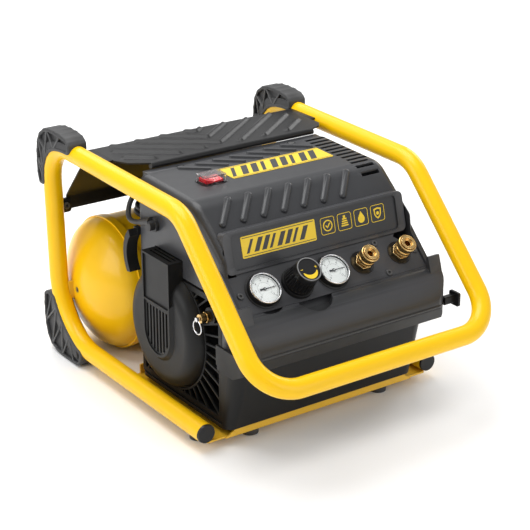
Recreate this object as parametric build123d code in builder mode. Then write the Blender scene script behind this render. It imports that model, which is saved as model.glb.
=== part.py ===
from build123d import *
import math
import os

os.makedirs("parts", exist_ok=True)

# ---------------------------------------------------------------------------
# Portable roll-cage air compressor.
# Millimetres, +Z up, X across the machine, controls face -Y.
# Drawn with Y measured from the middle of the roll cage; write() moves every
# piece so that the origin is on the floor at the middle of the whole machine.
# ---------------------------------------------------------------------------

# Roll cage: one bent tube, both free ends at the front of the bottom rails
TUBE_R = 15.0
TUBE_WALL = 2.0
CAGE_HALF = 211.0
RAIL_FRONT_Y = -159.5
RAIL_Z = 29.5
REAR_LOW_Y = 276.5
REAR_TOP_Y = 284.5
REAR_TOP_Z = 362.0
FRONT_TOP_Y = -104.5
FRONT_TOP_Z = 355.5
NOSE_Y = -310.5
NOSE_Z = 148.5
REAR_LOW_BEND = 110.0
CAGE_BEND = 62.0

# Air receiver
TANK_Y = 246.0
TANK_Z = 113.0
TANK_R = 110.0
TANK_WALL = 2.5
TANK_STRAIGHT = 131.0
CROWN_R = 150.0
KNUCKLE_R = 40.0
DRAIN_ANGLE = 40.0

# Plastic covers
COVER_HALF = 175.0
COVER_BACK_Y = 80.0
COVER_WALL = 3.0
SPLIT_Z = 128.0
HOUSING_BOTTOM_Z = 16.0

# Control panel plane: passes through this point and slopes up to the rear
PANEL_Y = -177.5
PANEL_Z = 239.5
PANEL_SLOPE = 42.0

# Motor and pump axis (along X)
AXIS_Y = -9.5
AXIS_Z = 136.5
SHROUD_R = 96.0
SHROUD_FACE_X = -195.0

# Safety relief valve on the left side
RELIEF_Y = -120.0
RELIEF_Z = 193.5

# Rocker switch on the top
SWITCH_X = -100.0
SWITCH_Y = -13.0

# Delivery pipe from pump to receiver
PIPE_X = 96.0
PIPE_Z = 268.0

# Power cord
CORD_D = 8.0

# Middle of the machine along Y: from the cage's nose to the receiver's back
SEAM_RISE = 2.4
MIDDLE_Y = (NOSE_Y - TUBE_R + TANK_Y + TANK_R + SEAM_RISE) / 2


def write(part, name):
    """Move one finished piece to the shared origin, label it and write its STEP file."""
    placed = part.moved(Location((0, -MIDDLE_Y, 0)))
    placed.label = name
    export_step(placed, f"parts/{name}.step")


def side_plane(x):
    """Plane across X at the given x, local x along +Y and local y along +Z."""
    return Plane(origin=(x, 0, 0), x_dir=(0, 1, 0), z_dir=(1, 0, 0))


def panel_plane(x, along, lift):
    """Plane on the control panel: x across, `along` up the slope, `lift` out of the face."""
    slope = math.radians(PANEL_SLOPE)
    y = PANEL_Y + along * math.cos(slope) - lift * math.sin(slope)
    z = PANEL_Z + along * math.sin(slope) + lift * math.cos(slope)
    return Plane(origin=(x, y, z), x_dir=(1, 0, 0), z_dir=(0, -math.sin(slope), math.cos(slope)))


# ---------------------------------------------------------------------------
# Roll cage
# ---------------------------------------------------------------------------
cage_points = [
    (-CAGE_HALF, RAIL_FRONT_Y, RAIL_Z),
    (-CAGE_HALF, REAR_LOW_Y, RAIL_Z),
    (-CAGE_HALF, REAR_TOP_Y, REAR_TOP_Z),
    (-CAGE_HALF, FRONT_TOP_Y, FRONT_TOP_Z),
    (-CAGE_HALF, NOSE_Y, NOSE_Z),
    (CAGE_HALF, NOSE_Y, NOSE_Z),
    (CAGE_HALF, FRONT_TOP_Y, FRONT_TOP_Z),
    (CAGE_HALF, REAR_TOP_Y, REAR_TOP_Z),
    (CAGE_HALF, REAR_LOW_Y, RAIL_Z),
    (CAGE_HALF, RAIL_FRONT_Y, RAIL_Z),
]
cage_radii = [
    REAR_LOW_BEND,
    CAGE_BEND,
    CAGE_BEND,
    CAGE_BEND,
    CAGE_BEND,
    CAGE_BEND,
    CAGE_BEND,
    REAR_LOW_BEND,
]
rail_start = Plane(origin=cage_points[0], x_dir=(1, 0, 0), z_dir=(0, 1, 0))

# Solid rod along the cage, used to fit the clamps and bumpers to the tube
with BuildPart() as cage_rod:
    with BuildLine():
        FilletPolyline(*cage_points, radius=cage_radii)
    with BuildSketch(rail_start):
        Circle(TUBE_R)
    sweep()

with BuildPart() as cage_bore:
    with BuildLine():
        FilletPolyline(*cage_points, radius=cage_radii)
    with BuildSketch(rail_start):
        Circle(TUBE_R - TUBE_WALL)
    sweep()

with BuildPart() as roll_cage_frame:
    add(cage_rod.part)
    add(cage_bore.part, mode=Mode.SUBTRACT)
write(roll_cage_frame.part, "roll_cage_frame")

with BuildPart() as frame_end_plugs:
    for side in (-1, 1):
        plug_face = Plane(origin=(side * CAGE_HALF, RAIL_FRONT_Y, RAIL_Z), z_dir=(0, -1, 0))
        with BuildSketch(plug_face):
            Circle(TUBE_R)
        extrude(amount=3.5, taper=12)
        with BuildSketch(plug_face):
            Circle(TUBE_R - TUBE_WALL)
        extrude(amount=-14)
write(frame_end_plugs.part, "frame_end_plugs")

# ---------------------------------------------------------------------------
# Base tray and feet
# ---------------------------------------------------------------------------
TRAY_BOTTOM = 11.5
TRAY_TOP = 14.5
TRAY_HALF = 214.0
TRAY_FRONT_Y = -160.0
TRAY_BACK_Y = 96.0
FLANGE_TOP_Z = 23.0

foot_spots = [(-123, -146), (123, -146), (-196, -116), (196, -116)]

with BuildPart() as base_tray:
    with BuildSketch(Plane.XY.offset(TRAY_BOTTOM)) as tray_outline:
        with BuildLine():
            Polyline(
                (-TRAY_HALF, TRAY_FRONT_Y + 12),
                (-TRAY_HALF + 8, TRAY_FRONT_Y),
                (TRAY_HALF - 8, TRAY_FRONT_Y),
                (TRAY_HALF, TRAY_FRONT_Y + 12),
                (TRAY_HALF, TRAY_BACK_Y - 20),
                (TRAY_HALF - 20, TRAY_BACK_Y),
                (-TRAY_HALF + 20, TRAY_BACK_Y),
                (-TRAY_HALF, TRAY_BACK_Y - 20),
                close=True,
            )
        make_face()
        with GridLocations(90, 0, 3, 1):
            SlotOverall(60, 14, mode=Mode.SUBTRACT)
    extrude(amount=TRAY_TOP - TRAY_BOTTOM)
    # Folded-up front flange with tapered ends
    with BuildSketch(Plane.XZ.offset(-TRAY_FRONT_Y)):
        with BuildLine():
            Polyline(
                (-177, TRAY_BOTTOM),
                (-160, FLANGE_TOP_Z),
                (160, FLANGE_TOP_Z),
                (177, TRAY_BOTTOM),
                close=True,
            )
        make_face()
    extrude(amount=3)
    # Rear stiffening flange
    with BuildSketch(Plane.XZ.offset(-TRAY_BACK_Y)):
        with Locations((0, (TRAY_TOP + 30) / 2)):
            Rectangle(340, 30 - TRAY_TOP)
    extrude(amount=3)
    with Locations(*[(x, y, TRAY_BOTTOM) for x, y in foot_spots]):
        Hole(3.2, depth=10)
write(base_tray.part, "base_tray")

with BuildPart() as rubber_feet:
    for foot_x, foot_y in foot_spots:
        with BuildSketch(Plane(origin=(foot_x, foot_y, 0))):
            Circle(13)
        extrude(amount=TRAY_BOTTOM, taper=-6)
        with BuildSketch(Plane(origin=(foot_x, foot_y, TRAY_BOTTOM))):
            Circle(3)
        extrude(amount=TRAY_TOP - TRAY_BOTTOM)
write(rubber_feet.part, "rubber_feet")

# ---------------------------------------------------------------------------
# Corner bumpers, moulded over the outside of the rear bends
# ---------------------------------------------------------------------------
BUMPER_HALF = 17.0

low_bumper_profile = [
    (184, 31),
    (186, 12),
    (196, 2),
    (214, 0),
    (258, 0),
    (280, 5),
    (295, 16),
    (303, 34),
    (306, 58),
    (305, 94),
    (298, 104),
    (270, 103),
    (262, 86),
    (244, 63),
    (222, 46),
    (200, 34),
]
high_bumper_profile = [
    (194, 361),
    (194, 381),
    (206, 388),
    (226, 391),
    (262, 391),
    (284, 384),
    (298, 369),
    (304, 348),
    (305, 316),
    (302, 294),
    (292, 288),
    (282, 292),
    (282, 318),
    (272, 342),
    (252, 356),
    (222, 361),
]


def corner_bumper(side, profile):
    """One rubber corner guard, hollowed to sit over the tube."""
    with BuildPart() as bumper:
        with BuildSketch(side_plane(side * CAGE_HALF - BUMPER_HALF)):
            with BuildLine():
                Polyline(*profile, close=True)
            make_face()
            fillet(vertices(), 3)
        extrude(amount=2 * BUMPER_HALF)
        outer_rim = (
            bumper.edges()
            .filter_by(lambda edge: abs(abs(edge.center().X - side * CAGE_HALF) - BUMPER_HALF) < 0.01)
        )
        chamfer(outer_rim, 2.5)
        add(cage_rod.part, mode=Mode.SUBTRACT)
    return bumper


bumper_profiles = {"lower": low_bumper_profile, "upper": high_bumper_profile}
for level, profile in bumper_profiles.items():
    left_bumper = corner_bumper(-1, profile)
    right_bumper = corner_bumper(1, profile)
    with BuildPart() as bumper_pair:
        add(left_bumper.part)
        add(right_bumper.part)
    write(bumper_pair.part, f"{level}_bumpers")

# ---------------------------------------------------------------------------
# Rear guard: pressed plate over the tank, folded down behind it
# ---------------------------------------------------------------------------
GUARD_HALF = 187.0
GUARD_FRONT_Y = 84.0
GUARD_BEND_Y = 198.0
GUARD_BACK_Y = 287.0
GUARD_TOP_Z = 367.0
GUARD_SKIRT_Z = 264.0
GUARD_LOW_Z = 240.0
GUARD_T = 2.5
GUARD_APEX_X = -5.0
RIB_SLANT = 37.0
TAB_Z = 248.0

with BuildPart() as guard_outline:
    with BuildSketch(Plane.XY.offset(GUARD_LOW_Z)):
        with BuildLine():
            Polyline(
                (-GUARD_HALF + 40, GUARD_FRONT_Y),
                (GUARD_HALF - 27, GUARD_FRONT_Y),
                (GUARD_HALF - 9, GUARD_FRONT_Y + 6),
                (GUARD_HALF, GUARD_FRONT_Y + 18),
                (GUARD_HALF, GUARD_BACK_Y),
                (-GUARD_HALF, GUARD_BACK_Y),
                (-GUARD_HALF, GUARD_FRONT_Y + 40),
                (-GUARD_HALF + 12, GUARD_FRONT_Y + 18),
                close=True,
            )
        make_face()
    extrude(amount=GUARD_TOP_Z - GUARD_LOW_Z)

with BuildPart() as rear_guard:
    # Top plate, sloping back and short skirt, folded from one sheet
    with BuildSketch(side_plane(-GUARD_HALF)):
        with BuildLine():
            Polyline(
                (GUARD_FRONT_Y, GUARD_TOP_Z),
                (GUARD_BEND_Y - 9, GUARD_TOP_Z),
                (GUARD_BEND_Y - 0.4, GUARD_TOP_Z - 2),
                (GUARD_BEND_Y + 5.9, GUARD_TOP_Z - 6.8),
                (GUARD_BACK_Y, GUARD_SKIRT_Z),
                (GUARD_BACK_Y, GUARD_LOW_Z),
                (GUARD_BACK_Y - GUARD_T, GUARD_LOW_Z),
                (GUARD_BACK_Y - GUARD_T, GUARD_SKIRT_Z - 1),
                (GUARD_BEND_Y + 3.8, GUARD_TOP_Z - 8.3),
                (GUARD_BEND_Y - 1.6, GUARD_TOP_Z - 4.3),
                (GUARD_BEND_Y - 10, GUARD_TOP_Z - GUARD_T),
                (GUARD_FRONT_Y, GUARD_TOP_Z - GUARD_T),
                close=True,
            )
        make_face()
    extrude(amount=2 * GUARD_HALF)
    add(guard_outline.part, mode=Mode.INTERSECT)
    # Side edges reach out to the top rails
    for side in (-1, 1):
        with BuildSketch(Plane.XY.offset(GUARD_TOP_Z - GUARD_T)):
            with Locations((side * (GUARD_HALF + 6), 160)):
                Rectangle(14, 66)
        extrude(amount=GUARD_T)
    # Rolled front lip
    with BuildSketch(Plane.YZ.offset(-GUARD_HALF + 40)):
        with Locations((GUARD_FRONT_Y, GUARD_TOP_Z - 5)):
            Circle(5)
    extrude(amount=2 * GUARD_HALF - 67)
    # Pressed V ribs on the top
    rib_rise = math.tan(math.radians(RIB_SLANT))
    for step in range(6):
        apex_y = 176 - step * 34.4
        for side in (-1, 1):
            start_y = max(apex_y + 2, GUARD_FRONT_Y + 15)
            start_out = (start_y - apex_y) / rib_rise
            end_out = min(GUARD_HALF - 20 + side * 5, start_out + (186 - start_y) / rib_rise)
            run = (end_out - start_out) / math.cos(math.radians(RIB_SLANT))
            middle_out = (start_out + end_out) / 2
            rib_spot = Location(
                (GUARD_APEX_X + side * middle_out, apex_y + middle_out * rib_rise, 0),
                (0, 0, side * RIB_SLANT),
            )
            with BuildSketch(Plane.XY.offset(GUARD_TOP_Z - 1)):
                with Locations(rib_spot):
                    SlotOverall(max(run, 15), 13)
            extrude(amount=5.5, taper=40)
    # Bolt tabs on the uprights
    for side in (-1, 1):
        with BuildSketch(Plane.XZ.offset(-GUARD_BACK_Y)):
            with Locations((side * 193, TAB_Z)):
                RectangleRounded(26, 24, 4)
        extrude(amount=5)
    add(cage_rod.part, mode=Mode.SUBTRACT)
    for side in (-1, 1):
        with BuildSketch(Plane.XZ.offset(-GUARD_BACK_Y)):
            with Locations((side * 190, TAB_Z)):
                Circle(3)
        extrude(amount=20, mode=Mode.SUBTRACT)
write(rear_guard.part, "rear_guard")

with BuildPart() as guard_bolts:
    for side in (-1, 1):
        bolt_face = Plane(origin=(side * 190, GUARD_BACK_Y - 5, TAB_Z), z_dir=(0, -1, 0))
        with BuildSketch(bolt_face):
            Circle(5.6)
        extrude(amount=4)
        with BuildSketch(bolt_face.offset(4)):
            RegularPolygon(2.6, 6)
        extrude(amount=-3, mode=Mode.SUBTRACT)
        with BuildSketch(bolt_face):
            Circle(3)
        extrude(amount=-5)
write(guard_bolts.part, "guard_bolts")

# ---------------------------------------------------------------------------
# Air receiver
# ---------------------------------------------------------------------------
tank_plane = Plane(origin=(0, TANK_Y, TANK_Z), x_dir=(1, 0, 0), z_dir=(0, -1, 0))
crown_centre = TANK_STRAIGHT - math.sqrt((CROWN_R - KNUCKLE_R) ** 2 - (TANK_R - KNUCKLE_R) ** 2)
TANK_END_X = crown_centre + CROWN_R
blend_dx = (TANK_STRAIGHT - crown_centre) / (CROWN_R - KNUCKLE_R)
blend_dr = (TANK_R - KNUCKLE_R) / (CROWN_R - KNUCKLE_R)


def tank_half_profile(inset):
    """Closed half section of the receiver, moved inwards by the wall when inset > 0."""
    crown = CROWN_R - inset
    knuckle = KNUCKLE_R - inset
    radius = TANK_R - inset
    blend = (crown_centre + crown * blend_dx, crown * blend_dr)
    apex = (crown_centre + crown, 0)
    crown_mid_angle = math.atan2(blend_dr, blend_dx) / 2
    crown_mid = (crown_centre + crown * math.cos(crown_mid_angle), crown * math.sin(crown_mid_angle))
    knuckle_angle = (math.atan2(blend_dr, blend_dx) + math.pi / 2) / 2
    knuckle_mid = (
        TANK_STRAIGHT + knuckle * math.cos(knuckle_angle),
        TANK_R - KNUCKLE_R + knuckle * math.sin(knuckle_angle),
    )
    shoulder = (TANK_STRAIGHT, radius)
    return apex, crown_mid, blend, knuckle_mid, shoulder


def drain_plane(out):
    """Plane across the drain cock at a distance from the receiver's axis."""
    angle = math.radians(DRAIN_ANGLE)
    return Plane(
        origin=(-60, TANK_Y - out * math.cos(angle), TANK_Z - out * math.sin(angle)),
        x_dir=(1, 0, 0),
        z_dir=(0, -math.cos(angle), -math.sin(angle)),
    )


def flipped(point):
    """Mirror a profile point to the other end of the receiver."""
    return (-point[0], point[1])


with BuildPart() as air_tank:
    for inset, joined in ((0, Mode.ADD), (TANK_WALL, Mode.SUBTRACT)):
        apex, crown_mid, blend, knuckle_mid, shoulder = tank_half_profile(inset)
        with BuildSketch(tank_plane):
            with BuildLine():
                ThreePointArc(apex, crown_mid, blend)
                ThreePointArc(blend, knuckle_mid, shoulder)
                Line(shoulder, flipped(shoulder))
                ThreePointArc(flipped(shoulder), flipped(knuckle_mid), flipped(blend))
                ThreePointArc(flipped(blend), flipped(crown_mid), flipped(apex))
                Line(flipped(apex), apex)
            make_face()
        revolve(axis=Axis((0, TANK_Y, TANK_Z), (1, 0, 0)), mode=joined)
    # Weld seam bands where the ends overlap the barrel
    for side in (-1, 1):
        with BuildSketch(Plane.YZ.offset(side * TANK_STRAIGHT - 7)):
            with Locations((TANK_Y, TANK_Z)):
                Circle(TANK_R + SEAM_RISE)
                Circle(TANK_R - 1, mode=Mode.SUBTRACT)
        extrude(amount=14)
    # Threaded boss on top for the delivery line and one low at the front for the drain
    with BuildSketch(Plane(origin=(70, TANK_Y, TANK_Z + TANK_R - 2), z_dir=(0, 0, 1))):
        Circle(13)
    extrude(amount=10)
    with Locations((70, TANK_Y, TANK_Z + TANK_R + 8)):
        Hole(6, depth=20)
    with BuildSketch(drain_plane(107)):
        Circle(11)
    extrude(amount=9)
    with BuildSketch(drain_plane(118)):
        Circle(5)
    extrude(amount=-18, mode=Mode.SUBTRACT)
    # Plug holes in the dome centres
    for side in (-1, 1):
        with BuildSketch(Plane(origin=(side * (TANK_END_X + 1), TANK_Y, TANK_Z), z_dir=(-side, 0, 0))):
            Circle(5)
        extrude(amount=6, mode=Mode.SUBTRACT)
write(air_tank.part, "air_tank")

with BuildPart() as tank_end_plugs:
    for side in (-1, 1):
        with BuildSketch(Plane(origin=(side * (TANK_END_X - TANK_WALL - 2), TANK_Y, TANK_Z), z_dir=(side, 0, 0))):
            Circle(5)
            RegularPolygon(2.5, 6, mode=Mode.SUBTRACT)
        extrude(amount=TANK_WALL + 1.6)
        with BuildSketch(Plane(origin=(side * (TANK_END_X - TANK_WALL - 2), TANK_Y, TANK_Z), z_dir=(side, 0, 0))):
            Circle(5)
        extrude(amount=1.5)
write(tank_end_plugs.part, "tank_end_plugs")

# Solid of the receiver's outer shape, used to shape its brackets
with BuildPart() as tank_core:
    apex, crown_mid, blend, knuckle_mid, shoulder = tank_half_profile(0)
    with BuildSketch(tank_plane):
        with BuildLine():
            ThreePointArc(apex, crown_mid, blend)
            ThreePointArc(blend, knuckle_mid, shoulder)
            Line(shoulder, flipped(shoulder))
            ThreePointArc(flipped(shoulder), flipped(knuckle_mid), flipped(blend))
            ThreePointArc(flipped(blend), flipped(crown_mid), flipped(apex))
            Line(flipped(apex), apex)
        make_face()
    revolve(axis=Axis((0, TANK_Y, TANK_Z), (1, 0, 0)))

with BuildPart() as tank_brackets:
    for side in (-1, 1):
        # Front cradle from the tray to the barrel: a foot and an upright web
        with BuildSketch(Plane(origin=(side * 100, TRAY_BACK_Y + 34, TRAY_TOP))):
            Rectangle(40, 68)
        extrude(amount=4)
        with BuildSketch(Plane(origin=(side * 100, TRAY_BACK_Y + 34, TRAY_TOP))):
            Rectangle(8, 68)
        extrude(amount=46)
        # Rear gusset from the upright to the dome
        with BuildSketch(Plane(origin=(side * 178, 262, 94))):
            Rectangle(50, 5)
        extrude(amount=30)
    add(tank_core.part, mode=Mode.SUBTRACT)
    add(cage_rod.part, mode=Mode.SUBTRACT)
write(tank_brackets.part, "tank_brackets")

with BuildPart() as drain_valve_body:
    with BuildSketch(drain_plane(106)):
        Circle(5)
    extrude(amount=10)
    with BuildSketch(drain_plane(116)):
        RegularPolygon(9, 6)
    extrude(amount=8)
    with BuildSketch(drain_plane(124)):
        Circle(6.2)
    extrude(amount=7)
    with BuildSketch(drain_plane(131)):
        Circle(2.4)
    extrude(amount=9)
write(drain_valve_body.part, "drain_valve_body")

with BuildPart() as drain_valve_knob:
    with BuildSketch(drain_plane(131.4)):
        Circle(9)
        Circle(2.45, mode=Mode.SUBTRACT)
    extrude(amount=7)
    with BuildSketch(drain_plane(131.4)):
        with PolarLocations(9, 12):
            Circle(1.1)
    extrude(amount=7, mode=Mode.SUBTRACT)
write(drain_valve_knob.part, "drain_valve_knob")

# ---------------------------------------------------------------------------
# Nameplate plane and the solid block of its plate
# ---------------------------------------------------------------------------
name_slope = math.radians(75.5)


def name_plane(x, along, lift):
    """Plane on the nameplate panel, `along` measured up the plate from its lower edge."""
    y = -149 + along * math.cos(name_slope) - lift * math.sin(name_slope)
    z = 267 + along * math.sin(name_slope) + lift * math.cos(name_slope)
    return Plane(origin=(x, y, z), x_dir=(1, 0, 0), z_dir=(0, -math.sin(name_slope), math.cos(name_slope)))


with BuildPart() as nameplate_block:
    with BuildSketch(name_plane(0, 27, -14)):
        RectangleRounded(330, 62, 9)
    extrude(amount=17)

# ---------------------------------------------------------------------------
# Main cover: top, sloping face, nameplate recess and control-panel opening
# ---------------------------------------------------------------------------
cover_section = [
    (COVER_BACK_Y, SPLIT_Z),
    (COVER_BACK_Y, 358),
    (-78, 354),
    (-157, 290),
    (-161, 261),
    (-200, 223),
    (-200, SPLIT_Z),
]
cover_inside = [
    (COVER_BACK_Y - COVER_WALL, SPLIT_Z - 1),
    (COVER_BACK_Y - COVER_WALL, 355),
    (-78, 351),
    (-153, 290),
    (-157, 261),
    (-196, 221),
    (-196, SPLIT_Z - 1),
]
LOUVRE_COUNT = 12

with BuildPart() as cover_block:
    with BuildSketch(side_plane(-COVER_HALF)) as cover_profile:
        with BuildLine():
            Polyline(*cover_section, close=True)
        make_face()
        fillet(cover_profile.vertices().filter_by(lambda v: v.Y > 345 and v.X > 0), 18)
        fillet(cover_profile.vertices().filter_by(lambda v: v.Y > 345 and v.X < -60), 42)
        fillet(cover_profile.vertices().filter_by(lambda v: 285 < v.Y < 295), 16)
    extrude(amount=2 * COVER_HALF)
    side_edges = cover_block.edges().filter_by(
        lambda edge: abs(abs(edge.center().X) - COVER_HALF) < 0.01 and edge.center().Z > 264
    )
    fillet(side_edges, 13)

with BuildPart() as cover_hollow:
    with BuildSketch(side_plane(-COVER_HALF + 7)) as hollow_profile:
        with BuildLine():
            Polyline(*cover_inside, close=True)
        make_face()
        fillet(hollow_profile.vertices().filter_by(lambda v: v.Y > 345 and v.X > 0), 15)
        fillet(hollow_profile.vertices().filter_by(lambda v: v.Y > 345 and v.X < -60), 39)
    extrude(amount=2 * COVER_HALF - 14)

with BuildPart() as main_cover:
    add(cover_block.part)
    add(cover_hollow.part, mode=Mode.SUBTRACT)
    # Window for the nameplate panel and the control panel
    with BuildSketch(Plane.XZ.offset(130)):
        with BuildLine():
            Polyline((-152, 320), (152, 320), (168, 298), (168, 200), (-168, 200), (-168, 298), close=True)
        make_face()
    extrude(amount=100, mode=Mode.SUBTRACT)
    add(nameplate_block.part, mode=Mode.SUBTRACT)
    # Open front below the panel, closed by the front bumper
    with BuildSketch(Plane.XZ.offset(150)):
        with Locations((0, SPLIT_Z + 40)):
            Rectangle(336, 100)
    extrude(amount=100, mode=Mode.SUBTRACT)
    # Opening in the left side round the fan shroud
    with BuildSketch(side_plane(-COVER_HALF - 5)):
        with Locations((-38, (SPLIT_Z + 227) / 2)):
            Rectangle(228, 227 - SPLIT_Z + 4)
    extrude(amount=20, mode=Mode.SUBTRACT)
    with BuildSketch(side_plane(-COVER_HALF - 5)):
        with Locations((AXIS_Y, AXIS_Z)):
            Circle(SHROUD_R + 1)
        with Locations((AXIS_Y, 200)):
            Rectangle(78, 113)
    extrude(amount=34, mode=Mode.SUBTRACT)
    # Slanted ribs on the sloping face
    slope = math.atan2(354 - 290, -78 + 157)
    for index in range(7):
        rib_x = -131 + index * 36.2
        rib_face = Plane(
            origin=(rib_x, -97, 338.6),
            x_dir=(1, 0, 0),
            z_dir=(0, -math.sin(slope), math.cos(slope)),
        ).offset(-2.4)
        with BuildSketch(rib_face):
            with Locations(Location((0, 0, 0), (0, 0, -37.5))):
                SlotOverall(58, 12, rotation=90)
        extrude(amount=5.4, taper=25)
    # Chevron ribs along the back of the top
    top_tilt = math.atan2(4, COVER_BACK_Y + 78)
    for index in range(7):
        rib_face = Plane(
            origin=(-92 + index * 32, 46, 356.9),
            x_dir=(1, 0, 0),
            z_dir=(0, -math.sin(top_tilt), math.cos(top_tilt)),
        )
        with BuildSketch(rib_face):
            with Locations(Location((0, 0, 0), (0, 0, -37))):
                SlotOverall(54, 8)
        extrude(amount=3, taper=25)
    # Cooling louvres across the right end of the top and down the slope
    for index in range(LOUVRE_COUNT):
        slot_y = 58 - index * 13.5
        with BuildSketch(Plane.XY.offset(296)):
            with Locations((147 if slot_y > -60 else 141, slot_y)):
                Rectangle(40 if slot_y > -60 else 34, 6.5)
        extrude(amount=70, mode=Mode.SUBTRACT)
    # Switch opening and recessed screw holes
    with BuildSketch(Plane.XY.offset(340)):
        with Locations((SWITCH_X, SWITCH_Y)):
            Rectangle(35, 23)
        with Locations((-104, 65), (104, 65)):
            Circle(3)
    extrude(amount=30, mode=Mode.SUBTRACT)
    with BuildSketch(Plane.XY.offset(355.8)):
        with Locations((-104, 65), (104, 65)):
            Circle(6.5)
    extrude(amount=10, mode=Mode.SUBTRACT)
    # Hole in the back wall for the delivery pipe
    with BuildSketch(Plane.XZ.offset(-COVER_BACK_Y - 2)):
        with Locations((PIPE_X, PIPE_Z)):
            Circle(8)
    extrude(amount=10, mode=Mode.SUBTRACT)
write(main_cover.part, "main_cover")

# Steep moulded plate under the slope, with a raised rim and a hollow back
with BuildPart() as nameplate_panel:
    add(nameplate_block.part)
    with BuildSketch(name_plane(0, 27, 0)):
        RectangleRounded(302, 52, 6)
    extrude(amount=3, mode=Mode.SUBTRACT)
    with BuildSketch(name_plane(0, 26, -14)):
        Rectangle(316, 50)
    extrude(amount=11, mode=Mode.SUBTRACT)
write(nameplate_panel.part, "nameplate_panel")

# Printed labels: plain colour blocks and pictogram plates, no wording
top_tilt_angle = math.atan2(4, COVER_BACK_Y + 78)
with BuildPart() as label_plates:
    with BuildSketch(name_plane(-67, 31, 0)):
        RectangleRounded(132, 32, 2)
    extrude(amount=0.6)
    with BuildSketch(
        Plane(
            origin=(28, 0, 354 + 78 * 4 / (COVER_BACK_Y + 78)),
            x_dir=(1, 0, 0),
            z_dir=(0, -math.sin(top_tilt_angle), math.cos(top_tilt_angle)),
        )
    ):
        RectangleRounded(188, 46, 2)
    extrude(amount=0.6)
write(label_plates.part, "label_plates")

with BuildPart() as pictogram_labels:
    for index in range(4):
        with BuildSketch(name_plane(22 + index * 31.5, 32, 0)):
            RectangleRounded(26, 26, 4)
            RectangleRounded(24, 24, 3, mode=Mode.SUBTRACT)
        extrude(amount=0.5)
        with BuildSketch(name_plane(22 + index * 31.5, 32, 0)):
            Circle(8)
            Circle(5.5, mode=Mode.SUBTRACT)
        extrude(amount=0.5)
write(pictogram_labels.part, "pictogram_labels")

# ---------------------------------------------------------------------------
# Lower housing and front bumper
# ---------------------------------------------------------------------------
nose_section = [(-150, 122.5), (-193.5, 122.5), (-221.5, 137.5), (-236.5, 161.5), (-150, 161.5)]
nose_hollow = [(-140, 120), (-191, 126), (-218.5, 140.5), (-231.5, 162), (-140, 162)]

with BuildPart() as lower_box:
    with BuildSketch(Plane.XY.offset(24)):
        with Locations((0, (COVER_BACK_Y - 166) / 2)):
            RectangleRounded(2 * COVER_HALF + 4, COVER_BACK_Y + 166, 16)
    with BuildSketch(Plane.XY.offset(SPLIT_Z - 0.5)):
        with Locations((0, (COVER_BACK_Y - 193) / 2)):
            RectangleRounded(2 * COVER_HALF + 4, COVER_BACK_Y + 193, 22)
    loft()

with BuildPart() as lower_box_hollow:
    with BuildSketch(Plane.XY.offset(27)):
        with Locations((0, (COVER_BACK_Y - 166) / 2)):
            RectangleRounded(2 * COVER_HALF - 2, COVER_BACK_Y + 160, 13)
    with BuildSketch(Plane.XY.offset(SPLIT_Z + 1)):
        with Locations((0, (COVER_BACK_Y - 193) / 2)):
            RectangleRounded(2 * COVER_HALF - 2, COVER_BACK_Y + 187, 19)
    loft()

with BuildPart() as nose_plan:
    with BuildSketch(Plane.XY.offset(100)):
        with Locations((0, -137)):
            RectangleRounded(370, 200, 25)
    extrude(amount=150)

with BuildPart() as nose_plan_hollow:
    with BuildSketch(Plane.XY.offset(100)):
        with Locations((0, -137)):
            RectangleRounded(362, 192, 21)
    extrude(amount=150)

with BuildPart() as nose_shell:
    with BuildSketch(side_plane(-185)):
        with BuildLine():
            Polyline(*nose_section, close=True)
        make_face()
    extrude(amount=370)
    add(nose_plan.part, mode=Mode.INTERSECT)

with BuildPart() as nose_core:
    with BuildSketch(side_plane(-181)):
        with BuildLine():
            Polyline(*nose_hollow, close=True)
        make_face()
    extrude(amount=362)
    add(nose_plan_hollow.part, mode=Mode.INTERSECT)

with BuildPart() as lower_housing:
    add(lower_box.part)
    add(nose_shell.part)
    add(lower_box_hollow.part, mode=Mode.SUBTRACT)
    add(nose_core.part, mode=Mode.SUBTRACT)
    # Room for the control box behind the nose and for the cover's side walls
    with BuildSketch(Plane.XY.offset(SPLIT_Z - 0.5)):
        with Locations((0, -58)):
            Rectangle(2 * COVER_HALF + 1, 284.6)
    extrude(amount=40, mode=Mode.SUBTRACT)
    # Opening in the left wall behind the side grille
    with BuildSketch(side_plane(-COVER_HALF - 10)):
        with Locations((-38, 80)):
            Rectangle(229, 100)
    extrude(amount=20, mode=Mode.SUBTRACT)
    with BuildSketch(side_plane(-COVER_HALF - 10)):
        with Locations((AXIS_Y, AXIS_Z)):
            Circle(SHROUD_R + 1)
    extrude(amount=39, mode=Mode.SUBTRACT)
    # Ventilation slots in the right wall
    with BuildSketch(side_plane(COVER_HALF - 10)):
        with GridLocations(16, 0, 11, 1):
            with Locations((-35, 78)):
                SlotOverall(60, 6, rotation=90)
    extrude(amount=20, mode=Mode.SUBTRACT)
    # Mounting pads down to the tray
    with BuildSketch(Plane.XY.offset(TRAY_TOP)):
        with Locations((-120, -120), (120, -120), (-120, 60), (120, 60)):
            Circle(11)
    extrude(amount=10)
write(lower_housing.part, "lower_housing")

bumper_hollow = [(-140, 161), (-232.5, 161), (-232.5, 170), (-231.5, 180), (-228, 189), (-140, 189)]

with BuildPart() as bumper_core:
    with BuildSketch(side_plane(-181)):
        with BuildLine():
            Polyline(*bumper_hollow, close=True)
        make_face()
    extrude(amount=362)
    add(nose_plan_hollow.part, mode=Mode.INTERSECT)

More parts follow.
